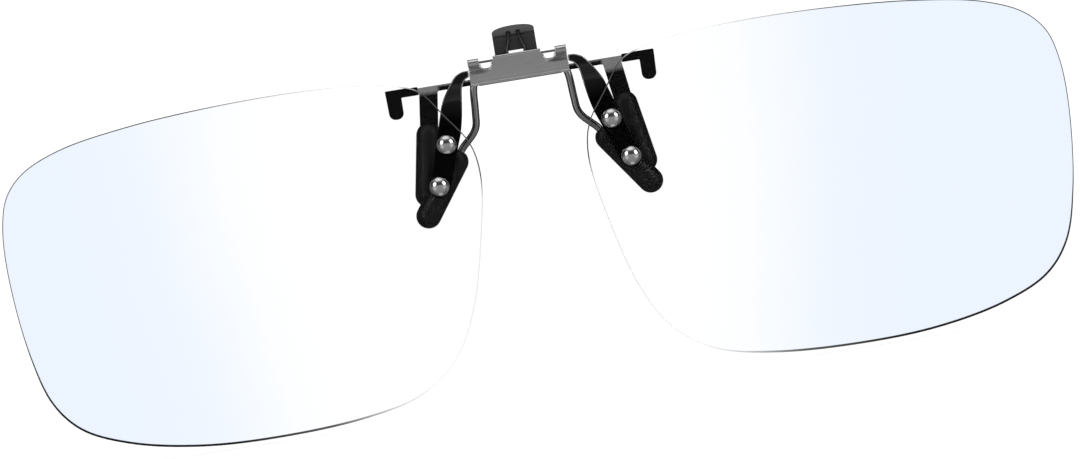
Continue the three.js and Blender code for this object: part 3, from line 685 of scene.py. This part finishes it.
def lens_rim():
    """The lens's ground edge: frosted near the nose with a painted glow there standing in for light piped through
    the lens, and painted nearly black below as painted shade.
    """
    look = Look("lens_rim", Specular_IOR_Level=0.3, Emission_Strength=1.0)
    height = look.axis("Z")
    out = look.math("ABSOLUTE", look.axis("X"))
    grain = look.noise((0.4, 0.4, 0.4), 3.0)
    down = look.times(look.spread(height, *PAINTED_SHADE_BELOW), look.spread(out, *PAINTED_SHADE_ACROSS))
    clear = look.math("MAXIMUM", look.spread(out, *CLEAR_OF_CLIP), look.spread(height, *BELOW_CLIP))
    frosted = look.times(clear, look.spread(out, *FROSTED_ACROSS))
    grey = look.mixed(grain, (0.06, 0.065, 0.07), (0.11, 0.115, 0.12))
    pale = look.mixed(frosted, grey, (0.80, 0.81, 0.82))
    # painted shade: the edge is painted nearly black along the lower outer side
    look.link(look.mixed(down, pale, (0.006, 0.006, 0.007)), "Base Color")
    # painted glow: the frosted edge emits light of its own, standing in for light piped through the lens
    piped = look.times(frosted, look.spread(height, *PAINTED_GLOW_UP, *PAINTED_GLOW_STRENGTH))
    look.link(look.mixed(piped, (0.0, 0.0, 0.0), (0.45, 0.455, 0.46)), "Emission Color")
    look.link(look.spread(grain, 0.3, 0.7, 0.28, 0.40), "Roughness")
    look.bump(grain, 0.1, 0.004)
    return look.material


glass = lens_glass()
rim = lens_rim()

# ---- the lenses -------------------------------------------------------------------------------------


def sag(x, z):
    """How far the lens curves back from its foremost point."""
    reach = (x - LENS_APEX[0]) ** 2 + (z - LENS_APEX[1]) ** 2
    return LENS_RADIUS - sqrt(LENS_RADIUS ** 2 - reach)


LENS_EDGE = 0.14
LENS_RINGS = (0.06, 0.2, 0.35, 0.5, 0.64, 0.77, 0.88, 0.96)
LOWER_WIDENING = 1.1
LOWER_DOWN, LOWER_OUT = (10, 24), (16, 30)
FACE_TILT = radians(4)


def lens_mesh():
    """A curved pane with a ground edge and two rivet holes."""
    outline = [Vector((p.x, p.y)) for p in spline([(x, z, 0) for x, z in LENS_OUTLINE], 9, closed=True)]
    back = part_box("lens_left")[1].y / MM
    middle = Vector(LENS_CENTRE)
    back_apex = back - max(sag(p.x, p.y) for p in [middle + (c - middle) * 0.99 for c in outline])

    def bevelled(distance):
        """The outline moved inwards, and about twice as far along the lower outer edge."""
        moved = []
        for before, after in zip(outline, inset(outline, distance)):
            widening = 1 + LOWER_WIDENING * eased(-before.y, *LOWER_DOWN) * eased(before.x, *LOWER_OUT)
            moved.append(before + (after - before) * widening)
        return moved

    def ring(loop, depth):
        return [Vector((p.x, back_apex + sag(p.x, p.y) - depth, p.y)) for p in loop]

    flat = bevelled(LENS_EDGE)
    scaled = [[middle + (p - middle) * s for p in flat] for s in LENS_RINGS]
    scaled.append(bevelled(LENS_EDGE + 0.03))
    loops = [ring(loop, 0) for loop in scaled]
    loops += [ring(bevelled(distance), height) for distance, height in edge_profile(LENS_EDGE, 0, LENS_THICKNESS)]
    loops += [ring(loop, LENS_THICKNESS) for loop in reversed(scaled)]
    holes = []
    for x, z in RIVETS.values():
        place = about((0, 1, 0), (x, 0, z))
        holes.append(turned([(RIVET_HOLE, -12), (RIVET_HOLE, 2)], 40, place))
    mesh = combined("DIFFERENCE", loft(loops), *holes)
    # the second material goes to the rim and the holes: all that isn't square to the curve
    for polygon in mesh.polygons:
        x, z = polygon.center.x / MM - LENS_APEX[0], polygon.center.z / MM - LENS_APEX[1]
        face = Vector((-x, sqrt(LENS_RADIUS ** 2 - x * x - z * z), -z)) / LENS_RADIUS
        polygon.material_index = 0 if abs(polygon.normal.dot(face)) > cos(FACE_TILT) else 1
    return mesh


lens = lens_mesh()
for side, sign in SIDES:
    shape = lens if sign > 0 else mirrored(lens)
    piece(f"lens_{side}_glass", shaded(shape, 28), LENSES, [glass, rim], [f"lens_{side}"])

# ---- the arms ---------------------------------------------------------------------------------------

ARM_OUTER = (
    (6.3, 12.05), (7.1, 12.0), (8.05, 11.55), (8.8, 10.7), (9.55, 9.5), (10.15, 8.3), (10.7, 6.6), (11.15, 5.1),
)
ARM_INNER = (
    (6.3, 11.25), (6.85, 10.95), (7.22, 10.35), (7.42, 9.7), (7.52, 8.8), (7.65, 7.9), (7.9, 6.4), (8.3, 4.7),
)


def arm_mesh():
    """A strip cut to its outline, with polished edges, that steps forward on its way down."""

    def smooth(points):
        return [Vector((p.x, p.y)) for p in spline([(q.x, q.y, 0) for q in points], 6)]

    upper, lower = Vector(RIVETS["upper"]), Vector(RIVETS["lower"])
    along = (lower - upper).normalized()
    side = Vector((-along.y, along.x)) * ARM_HALF_WIDTH
    outer = [Vector(p) for p in ARM_OUTER] + [upper + side, (upper + lower) / 2 + side, lower + side]
    inner = [Vector(p) for p in ARM_INNER] + [upper - side, (upper + lower) / 2 - side, lower - side]
    start = atan2(side.y, side.x)
    turns = [start - pi * k / 20 for k in range(1, 20)]
    end = [lower + ARM_HALF_WIDTH * Vector((cos(turn), sin(turn))) for turn in turns]
    outline = smooth(outer) + end + list(reversed(smooth(inner)))
    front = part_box("lens_arm_left")[0].y / MM
    flat = slab(outline, front, front + ARM_THICKNESS, ARM_EDGE, UPRIGHT)
    bore = [(ARM_BORE, -9), (ARM_BORE, 0)]
    holes = [turned(bore, 32, about((0, 1, 0), (x, 0, z))) for x, z in RIVETS.values()]
    flat = combined("DIFFERENCE", flat, *holes)
    bm = bmesh.new()
    bm.from_mesh(flat)
    slice_up(bm, (0, 0, 1), *ARM_BEND, 24)
    # the second material is the polished edge
    for face in bm.faces:
        face.material_index = 1 if abs(face.normal.y) < 0.98 else 0
    step = CHANNEL_Y - (front + ARM_THICKNESS / 2)
    for v in bm.verts:
        v.co.y += step * eased(v.co.z / MM, *ARM_BEND) * MM
    bm.to_mesh(flat)
    bm.free()
    return flat


pair("lens_arm", arm_mesh(), LENSES, [gunmetal, cut_edge], "lens_arm")

# ---- rivets, washers and collars --------------------------------------------------------------------


def rivet_profile(length):
    """From the crown of the domed head to the spread end of the shank behind the collar."""
    dome = [radians(90 * k / 16) for k in range(1, 17)]
    rise = RIVET_HEAD_HEIGHT - RIVET_LAND
    head = [(0.01, -RIVET_HEAD_HEIGHT), *[(RIVET_HEAD * sin(a), -RIVET_LAND - rise * cos(a)) for a in dome]]
    head += [(RIVET_HEAD, -0.05), (RIVET_HEAD - 0.05, 0)]
    shank = [(RIVET_SHANK, 0.01), (RIVET_SHANK, length - 0.02)]
    tail = [(0.8, length), (0.78, length + 0.06), (0.6, length + 0.1), (0.01, length + 0.12)]
    return head + shank + tail


def ring_profile(inner, outer, thickness, edge):
    """A flat ring with rounded outer edges, as a closed run of (radius, height) pairs."""
    quarter = [radians(90 * k / 3) for k in range(4)]
    front = [(outer - edge * (1 - sin(a)), edge * (1 - cos(a))) for a in quarter]
    back = [(r, thickness - h) for r, h in reversed(front)]
    cut = 0.04
    return [(inner, cut), (inner + cut, 0), *front, *back, (inner + cut, thickness), (inner, thickness - cut)]


def turned_ring(profile, segments, place):
    """A body of revolution whose profile closes on itself."""
    size = len(profile)
    corners, faces = [], []
    for k in range(segments):
        a = 2 * pi * k / segments
        corners += [Vector((r * cos(a), r * sin(a), h)) for r, h in profile]
    for k in range(segments):
        for i in range(size):
            a, b = k * size, ((k + 1) % segments) * size
            j = (i + 1) % size
            faces.append((a + i, a + j, b + j, b + i))
    mesh = mesh_of(corners, faces)
    mesh.transform(place)
    return mesh


RINGS = (("lens_washer", "nylon", nylon, 0.07), ("rivet_collar", "steel", wire_steel, 0.1))

collar_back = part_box("rivet_collar_upper_left")[1].y / MM
for height, (x, z) in RIVETS.items():
    for side, sign in SIDES:
        node = f"rivet_{height}_{side}"
        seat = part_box(node)[0].y / MM + RIVET_HEAD_HEIGHT
        rivet = turned(rivet_profile(collar_back - seat), 64, about((0, 1, 0), (sign * x, seat, z)))
        piece(f"{node}_domed", shaded(rivet), LENSES, [chrome], [node])
        for kind, slot, look, edge in RINGS:
            node = f"{kind}_{height}_{side}"
            low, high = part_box(node)
            profile = ring_profile(RIVET_HOLE, (high.x - low.x) / 2 / MM, (high.y - low.y) / MM, edge)
            ring = turned_ring(profile, 48, about((0, 1, 0), (sign * x, low.y / MM, z)))
            piece(f"{node}_ring", shaded(ring), LENSES, [look], [node])

# ---- shaft and pin ----------------------------------------------------------------------------------


def rod(half, radius, edge, segments, middle):
    """A round rod along x with rounded ends, about its middle point."""
    quarter = [radians(90 * k / 4) for k in range(5)]
    ends = [(radius - edge * (1 - sin(a)), half - edge * (1 - cos(a))) for a in quarter]
    profile = [(r, -h) for r, h in ends] + [(r, h) for r, h in reversed(ends)]
    return turned(profile, segments, about((1, 0, 0), middle))


shaft = rod(SHAFT_HALF_LENGTH - 0.01, SHAFT_RADIUS, 0.1, 40, (0, CHANNEL_Y, SHAFT_Z))
piece("flip_shaft_rod", shaded(shaft), LENSES, [wire_steel], ["flip_shaft"])
pin = rod(PLATE_HALF_WIDTH - 0.02, PIN_RADIUS, 0.06, 32, (0, PIN_Y, PIN_Z))
piece("hinge_pin_rod", shaded(pin), FRONT_CLIP, [wire_steel], ["hinge_pin"])

# ---- the front plate --------------------------------------------------------------------------------


def scoop_arc():
    """The half-round scoop beside the press, from its outer top to its inner top."""
    return arc(SCOOP_X, LEAF_SHOULDER_Z, SCOOP_RADIUS, 0, -180, 16)


def front_leaf():
    """The plate's flat face with its two outer flaps, without the press."""
    half, bottom = PLATE_HALF_WIDTH, PLATE_BOTTOM + 0.05
    outline = rounded([
        (NOTCH_X, CHANNEL_Z, 0), (NOTCH_X, bottom, 0.06), (half, bottom, 0.15), (half, LEAF_SHOULDER_Z, 0),
        (SCOOP_X + SCOOP_RADIUS, LEAF_SHOULDER_Z, 0),
    ])[:-1]
    outline += [p for p in scoop_arc() if not (p.x < SCOOP_X and p.y > PRESS_FOOT + 0.02)]
    other = [Vector((-p.x, p.y)) for p in reversed(outline)]
    leaf = slab(outline + other, PLATE_FRONT_Y, PLATE_FRONT_Y + SHEET, SHEET_EDGE, UPRIGHT)
    # the two ears bend back below the knuckles
    bm = bmesh.new()
    bm.from_mesh(leaf)
    slice_up(bm, (0, 0, 1), EAR_BEND[0], LEAF_SHOULDER_Z - 0.02, 14)
    for _, side in SIDES:
        slice_up(bm, (side, 0, 0), EAR_INNER[0], EAR_INNER[1], 8)
    for v in bm.verts:
        up = eased(v.co.z / MM, *EAR_BEND)
        out = eased(abs(v.co.x) / MM, *EAR_INNER)
        v.co.y += EAR_SET_BACK * up * out * MM
    bm.to_mesh(leaf)
    bm.free()
    return leaf


def front_press():
    """The press leans forward, so its outline is stretched up its own slope."""
    side = [Vector((3.5, PRESS_FOOT - 0.35)), *[p for p in scoop_arc() if p.x < 3.9]]
    side.append(Vector((PRESS_HALF_WIDTH, PRESS_TOP - 0.05)))
    outline = [Vector((p.x, (p.y - PRESS_FOOT) / cos(PRESS_LEAN))) for p in side]
    outline += [Vector((-p.x, p.y)) for p in reversed(outline)]
    foot = Matrix.Translation(Vector((0, PLATE_FRONT_Y + SHEET, PRESS_FOOT)) * MM)
    return slab(outline, -SHEET, 0, SHEET_EDGE, foot @ Matrix.Rotation(PRESS_LEAN, 4, "X") @ UPRIGHT)


def channel():
    """The plate's lower edge, folded back and up into a channel for the shaft."""
    section = [Vector((CHANNEL_Y - CHANNEL_OUTER, CHANNEL_Z + 0.6))]
    section += arc(CHANNEL_Y, CHANNEL_Z, CHANNEL_OUTER, 180, 360, 28)
    section += [Vector((CHANNEL_Y + reach, CHANNEL_BACK_Z)) for reach in (CHANNEL_OUTER, CHANNEL_INNER)]
    section += arc(CHANNEL_Y, CHANNEL_Z, CHANNEL_INNER, 360, 180, 28)
    section += [Vector((CHANNEL_Y - CHANNEL_INNER, CHANNEL_Z + 0.6))]
    return slab(section, -NOTCH_X, NOTCH_X, 0.06, ACROSS)


def curl(x0, x1, first, last):
    """A knuckle: the sheet rolled round the pin between two angles, seen from the end."""
    outside = arc(PIN_Y, PIN_Z, KNUCKLE_RADIUS, first, last, 36)
    inside = arc(PIN_Y, PIN_Z, PIN_BORE, last, first, 36)
    return slab(outside + inside, x0, x1, 0.05, ACROSS)


def front_plate():
    """The folded sheet with its knuckles, and with the rims and hems that stiffen it."""
    parts = [front_leaf(), channel(), front_press()]
    for _, side in SIDES:
        parts.append(curl(*sorted((side * FRONT_KNUCKLE[0], side * FRONT_KNUCKLE[1])), 215, -110))
        x, y = side * SCOOP_X, PLATE_FRONT_Y + SHEET / 2
        half_round = arc(0, LEAF_SHOULDER_Z, SCOOP_RADIUS, -2, -178, 24)
        parts.append(tube([(x + p.x, y, p.y) for p in half_round], 0.13, 12, 0.1))
    bead_y = PLATE_FRONT_Y + SHEET / 2 - (PRESS_TOP - PRESS_FOOT) * tan(PRESS_LEAN)
    parts.append(rod(PRESS_HALF_WIDTH, 0.2, 0.12, 32, (0, bead_y, PRESS_TOP)))
    # the rolled hem under the channel and under the two outer flaps
    under = radians(HEM_ANGLE)
    hem_y, hem_z = CHANNEL_Y + CHANNEL_OUTER * cos(under), CHANNEL_Z + CHANNEL_OUTER * sin(under)
    parts.append(rod(NOTCH_X - 0.02, HEM_RADIUS, 0.08, 24, (0, hem_y, hem_z)))
    flap_half, flap_y = (PLATE_HALF_WIDTH - NOTCH_X) / 2 - 0.02, PLATE_FRONT_Y + HEM_RADIUS - 0.05
    for _, side in SIDES:
        middle = side * (PLATE_HALF_WIDTH + NOTCH_X) / 2
        parts.append(rod(flap_half, HEM_RADIUS, 0.05, 24, (middle, flap_y, hem_z)))
    return combined("UNION", *parts)


piece("front_plate_sheet", shaded(front_plate()), FRONT_CLIP, [plate_steel], ["front_plate"])

# ---- the front legs and sleeves ---------------------------------------------------------------------


def on_axis(axis, distance):
    """The point so far down a sleeve's axis."""
    (x0, z0), (x1, z1) = axis
    length = hypot(x1 - x0, z1 - z0)
    return x0 + (x1 - x0) * distance / length, z0 + (z1 - z0) * distance / length


def front_leg():
    """From inside the channel, down behind the lens's edge, and into the front sleeve."""
    stub_z = CHANNEL_Z - CHANNEL_INNER + LEG_RADIUS + 0.02
    route = [
        (0.2, CHANNEL_Y, stub_z), (2.6, CHANNEL_Y, stub_z), (4.9, CHANNEL_Y, stub_z),
        (5.68, CHANNEL_Y, stub_z - 0.28), (5.96, CHANNEL_Y, stub_z - 1.0), (6.2, -1.95, 6.75),
        (6.4, -1.82, 5.1), (6.9, -1.75, 4.2),
    ]
    for distance in (-1.9, -1.2, 0, 3, 6.6):
        x, z = on_axis(FRONT_SLEEVE, distance)
        route.append((x, -SLEEVE_Y, z))
    return tube(spline(route, 14), LEG_RADIUS, 32, 0.1)


pair("front_leg_wire", front_leg(), FRONT_CLIP, [wire_steel], "front_leg")


def sleeve_mesh(axis, y, mouth):
    """A rubber sleeve with a round closed tip, and a small lip round the mouth that takes the leg."""
    (x0, z0), (x1, z1) = axis
    length = hypot(x1 - x0, z1 - z0)
    tip = [(SLEEVE_RADIUS * sin(radians(a)), -SLEEVE_RADIUS * cos(radians(a))) for a in range(2, 90, 8)]
    cap = [(SLEEVE_RADIUS * sin(radians(a)), length + SLEEVE_RADIUS * cos(radians(a))) for a in range(90, 0, -8)]
    top = [(r, h) for r, h in cap if r > mouth]
    last = length + sqrt(SLEEVE_RADIUS ** 2 - mouth ** 2)
    body = [(SLEEVE_RADIUS, length * k / 6) for k in range(7)]
    lip = [(mouth, last), (mouth - 0.06, last + 0.02), (mouth - 0.12, last - 0.05)]
    place = about((x0 - x1, 0, z0 - z1), (x1, y, z1))
    return turned(tip + body + top[1:] + lip, 56, place)


front_sleeve = sleeve_mesh(FRONT_SLEEVE, -SLEEVE_Y, FRONT_MOUTH)
rear_sleeve = sleeve_mesh(REAR_SLEEVE, SLEEVE_Y, REAR_MOUTH)
pair("front_sleeve_rubber", front_sleeve, FRONT_CLIP, [rubber], "front_sleeve")
pair("rear_sleeve_rubber", rear_sleeve, REAR_JAW, [rubber], "rear_sleeve")

# ---- the rear jaw -----------------------------------------------------------------------------------


def rear_sheet_half():
    """The wearer's left half of the upright sheet: riser, bar, hook and leg, from the top of the riser."""
    ax, az = on_axis(REAR_SLEEVE, 0.6)
    bx, bz = on_axis(REAR_SLEEVE, 6.6)
    core = REAR_CORE_HALF
    return [
        (REAR_KNUCKLE[1], ROOF_TOP - 0.02, 0.1), (REAR_KNUCKLE[1], BAR_TOP, 0.25), (BAR_HALF_LENGTH, BAR_TOP, 0.1),
        (BAR_HALF_LENGTH - 0.15, HOOK_TIP_Z, 0.68), (HOOK_INNER_X, HOOK_TIP_Z, 0.68),
        (HOOK_INNER_X, BAR_BOTTOM, 0.1), (12.86, BAR_BOTTOM, 0.2), (13.45, 5.9, 0.3),
        (ax + core, az - 0.1, 0.2), (bx + core, bz, 0.2), (bx - core, bz, 0.2), (ax - core, az - 0.3, 0.2),
        (11.15, 5.9, 0.3), (10.5, BAR_BOTTOM, 0.2),
    ]


def rear_plate():
    """The upright sheet with its roof and knuckles, the flange behind the bar, and the thumb tab."""
    half = rear_sheet_half()
    left_half = [(-x, z, r) for x, z, r in reversed(half)]
    sheet = slab(rounded(half + left_half), REAR_Y, REAR_Y + REAR_SHEET, SHEET_EDGE, UPRIGHT)
    knuckle_in, knuckle_out = REAR_KNUCKLE
    back = REAR_Y + REAR_SHEET - 0.01
    roof = slab(rounded([
        (knuckle_out, back, 0.1), (-knuckle_out, back, 0.1), (-knuckle_out, PIN_Y, 0), (-knuckle_in, PIN_Y, 0),
        (-knuckle_in, ROOF_FRONT_Y, 0.2), (knuckle_in, ROOF_FRONT_Y, 0.2), (knuckle_in, PIN_Y, 0),
        (knuckle_out, PIN_Y, 0),
    ]), ROOF_TOP - REAR_SHEET, ROOF_TOP, SHEET_EDGE)
    flange_back = REAR_Y + FLANGE_DEPTH
    flange = slab(rounded([
        (FLANGE_HALF_LENGTH, REAR_Y, 0.1), (FLANGE_HALF_LENGTH, flange_back, 0.25),
        (-FLANGE_HALF_LENGTH, flange_back, 0.25), (-FLANGE_HALF_LENGTH, REAR_Y, 0.1),
    ]), BAR_TOP - REAR_SHEET, BAR_TOP, SHEET_EDGE)
    tongue = slab(rounded([
        (TONGUE_HALF, -0.02, 0), (TONGUE_HALF, TONGUE_TOP, 0.5), (-TONGUE_HALF, TONGUE_TOP, 0.5),
        (-TONGUE_HALF, -0.02, 0),
    ]), -REAR_SHEET / 2, REAR_SHEET / 2, SHEET_EDGE, ON_TAB)
    parts = [sheet, roof, flange, tongue]
    for _, side in SIDES:
        parts.append(curl(*sorted((side * knuckle_in, side * knuckle_out)), 85, -200))
    window_front = ROOF_FRONT_Y - 0.4
    window = slab(rounded([
        (TAB_NOTCH, window_front, 0), (TAB_NOTCH, 0.2, 0.2), (-TAB_NOTCH, 0.2, 0.2), (-TAB_NOTCH, window_front, 0),
    ]), ROOF_TOP - 1, WINDOW_TOP, 0.01)
    return combined("DIFFERENCE", combined("UNION", *parts), window)


piece("rear_plate_sheet", shaded(rear_plate()), REAR_JAW, [jaw_steel], ["rear_plate"])


def hook_cap():
    """The dipped coat round the bar's end and the hook."""
    wall = CAP_WALL
    inner, outer = HOOK_INNER_X - wall, BAR_HALF_LENGTH + wall
    top, under, tip = BAR_TOP + wall, BAR_BOTTOM - wall, HOOK_TIP_Z - wall
    return slab(rounded([
        (CAP_START_X, top, 0.12), (CAP_START_X, under, 0.12), (inner, under, 0.1),
        (inner, tip, 0.8), (outer - 0.12, tip, 0.8), (outer, top, 0.16),
    ], 8), REAR_Y - wall, REAR_Y + REAR_SHEET + wall, 0.16, UPRIGHT)


pair("hook_cap_dipped", hook_cap(), REAR_JAW, [dipped], "hook_cap")


def thumb_pad():
    """A thin pressed face under a thick overhanging lip, with pockets for the spring's two ends."""
    half, shoulder = TAB_HALF_WIDTH, TAB_LENGTH - 0.75

    def outline(bottom):
        """The pad's outline from this height up, with a crowned top between rounded shoulders."""
        crown = []
        a, b = Vector((half, shoulder)), Vector((0, TAB_LENGTH))
        c, d = Vector((half, shoulder + 0.45)), Vector((half - 1.1, TAB_LENGTH))
        for k in range(1, 14):
            t = k / 13
            crown.append(a * (1 - t) ** 3 + 3 * c * t * (1 - t) ** 2 + 3 * d * t * t * (1 - t) + b * t ** 3)
        right = [Vector((half, bottom)), a, *crown]
        return right + [Vector((-p.x, p.y)) for p in reversed(right[:-1])]

    face = slab(outline(0.1), *FACE_DEPTH, 0.14, ON_TAB)
    lip = slab(outline(LIP_UP), *LIP_DEPTH, 0.2, ON_TAB)
    cuts = []
    for x in (POCKET_X, -POCKET_X):
        hole = [Vector((x, POCKET_UP)) + p for p in arc(0, 0, POCKET_RADIUS, 0, 345, 23)]
        cuts.append(slab(hole, -1.1, -0.5, 0.01, ON_TAB))
    # clear of the roof below, and open over the window
    wide, front = half + 1, ROOF_FRONT_Y - 0.05
    roof = [(wide, front), (wide, 3), (-wide, 3), (-wide, front)]
    cuts.append(slab(roof, ROOF_TOP - 1, ROOF_TOP + 0.05, 0.01))
    window = [(TAB_NOTCH, -3), (TAB_NOTCH, 3), (-TAB_NOTCH, 3), (-TAB_NOTCH, -3)]
    cuts.append(slab(window, ROOF_TOP - 1, WINDOW_TOP, 0.01))
    return combined("DIFFERENCE", combined("UNION", face, lip), *cuts)


piece("thumb_pad_moulding", shaded(thumb_pad()), REAR_JAW, [moulded], ["thumb_pad"])

# ---- the torsion springs ----------------------------------------------------------------------------


def spring_mesh():
    """Down from the tab's pocket, round the pin and out to a foot behind the press."""
    route = [
        on_tab(POCKET_X, POCKET_UP, -0.72), on_tab(POCKET_X + 0.08, 1.9, -0.86),
        on_tab(POCKET_X + 0.3, 1.1, -0.86), on_tab(SPRING_INNER_X, 0.55, -0.78),
    ]
    first, last = 0.08 * pi, -pi * 2 * SPRING_TURNS
    steps = int(16 * SPRING_TURNS)
    for i in range(steps + 1):
        part = i / steps
        angle = first + (last - first) * part
        x = SPRING_INNER_X + (SPRING_OUTER_X - SPRING_INNER_X) * part
        route.append(Vector((x, PIN_Y + SPRING_COIL * cos(angle), PIN_Z + SPRING_COIL * sin(angle))))
    route.append(Vector((SPRING_OUTER_X - 0.1, PIN_Y - SPRING_COIL - 0.12, PIN_Z + 0.42)))
    return tube(spline(route, 2), SPRING_WIRE, 14, 0.05)


spring = spring_mesh()
for side, sign in SIDES:
    shape = shaded(spring if sign > 0 else mirrored(spring))
    node = f"torsion_spring_{side}"
    coil = piece(f"{node}_wire", shape, None, [spring_steel], [node])
    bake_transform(coil)

# ---- floor, light and camera ------------------------------------------------------------------------

LOOK_AT = Vector((-0.6, 0, -8.9)) * MM
ROLL = radians(9.2)
DISTANCE = 0.45

FLOOR_HALF = 6.0
FLOOR_GAP = 0.0006
WHITE = 1.12

# The room's light by height and by depth, each from -1 to 1 as 0 to 1.
ROOM_UP = (
    (0.0, 0.22), (0.3, 0.235), (0.49, 0.26), (0.56, 0.25), (0.62, 0.04), (0.80, 0.05), (0.90, 0.36), (1.0, 0.4),
)
ROOM_BACK = ((0.0, 1.0), (0.2, 1.0), (0.675, 0.13), (0.87, 0.5), (1.0, 1.0))
# Soft boxes: direction, angles in degrees where the light is full and where it ends, and strength.
SOFT_BOXES = (
    ((-0.66, -0.64, 0.42), 6, 19, 3.2),
    ((0.70, -0.60, 0.40), 6, 19, 3.2),
    ((0.0, -0.20, 0.98), 8, 34, 0.55),
    ((-0.70, -0.68, -0.16), 4, 24, 0.22),
    ((0.70, -0.68, -0.16), 4, 24, 0.22),
    ((0.0, -0.15, -1.0), 5, 22, 0.35),
)


def floor():
    """A white floor that stays out of the metal's reflections and out of the view through the glass."""
    size, level = FLOOR_HALF, CAD_BOX[0][2] - FLOOR_GAP
    corners = [(-size, -size, level), (size, -size, level), (size, size, level), (-size, size, level)]
    mesh = bpy.data.meshes.new("floor")
    mesh.from_pydata(corners, [], [(0, 1, 2, 3)])
    obj = bpy.data.objects.new("floor", mesh)
    bpy.context.scene.collection.objects.link(obj)
    look = Look("floor_white", Base_Color=(0.8, 0.8, 0.8, 1), Roughness=0.9, Specular_IOR_Level=0.0,
                Emission_Color=(1, 1, 1, 1), Emission_Strength=0.81)
    mesh.materials.append(look.material)
    obj.visible_glossy = False
    obj.visible_transmission = False


def studio():
    """White to look at, and seen in the gloss as a dim room with soft boxes at the sides and above."""
    world = bpy.data.worlds.new("studio")
    bpy.context.scene.world = world
    world.use_nodes = True
    tree = world.node_tree
    tree.nodes.clear()

    def math(operation, a, b, **settings):
        return add_node(tree, "ShaderNodeMath", {0: a, 1: b}, operation=operation, **settings).outputs[0]

    def by_axis(value, stops):
        place = add_node(tree, "ShaderNodeMapRange", {"Value": value, "From Min": -1.0}).outputs[0]
        ramp = add_node(tree, "ShaderNodeValToRGB", {"Fac": place})
        fill_ramp(ramp, stops)
        return ramp.outputs[0]

    direction = add_node(tree, "ShaderNodeTexCoord", {}).outputs["Generated"]
    axes = add_node(tree, "ShaderNodeSeparateXYZ", {"Vector": direction}).outputs
    light = math("MULTIPLY", by_axis(axes["Z"], ROOM_UP), by_axis(axes["Y"], ROOM_BACK))
    for toward, inner, outer, strength in SOFT_BOXES:
        between = {0: direction, 1: Vector(toward).normalized()}
        facing = add_node(tree, "ShaderNodeVectorMath", between, operation="DOT_PRODUCT").outputs["Value"]
        glow = add_node(tree, "ShaderNodeMapRange", {
            "Value": facing, "From Min": cos(radians(outer)), "From Max": cos(radians(inner)), "To Max": strength,
        }, interpolation_type="SMOOTHSTEP")
        light = math("ADD", light, glow.outputs[0])
    # white for what is looked at straight or through glass, and the room for what is mirrored or lit
    path = add_node(tree, "ShaderNodeLightPath", {}).outputs
    straight = math("MAXIMUM", path["Is Camera Ray"], path["Is Transmission Ray"])
    bounced = math("ADD", path["Glossy Depth"], path["Diffuse Depth"])
    seen = math("SUBTRACT", straight, bounced, use_clamp=True)
    white = add_node(tree, "ShaderNodeBackground", {"Color": (1, 1, 1, 1), "Strength": WHITE})
    room = add_node(tree, "ShaderNodeBackground", {"Color": (1, 1, 1, 1), "Strength": light})
    mix = add_node(tree, "ShaderNodeMixShader", {0: seen, 1: room.outputs[0], 2: white.outputs[0]})
    output = add_node(tree, "ShaderNodeOutputWorld", {})
    tree.links.new(mix.outputs[0], output.inputs["Surface"])


def camera():
    """Straight on from the front, rolled as in the photo."""
    data = bpy.data.cameras.new("camera")
    data.lens = 120
    data.sensor_width = 36
    data.clip_start = 0.01
    data.clip_end = 20
    obj = bpy.data.objects.new("camera", data)
    bpy.context.scene.collection.objects.link(obj)
    right, up = (cos(ROLL), 0, -sin(ROLL)), (sin(ROLL), 0, cos(ROLL))
    place = LOOK_AT + Vector((0, -DISTANCE, 0))
    obj.matrix_world = Matrix((
        (right[0], up[0], 0, place.x),
        (right[1], up[1], -1, place.y),
        (right[2], up[2], 0, place.z),
        (0, 0, 0, 1),
    ))
    bpy.context.scene.camera = obj


floor()
studio()
camera()
bpy.context.scene.view_settings.view_transform = "Standard"
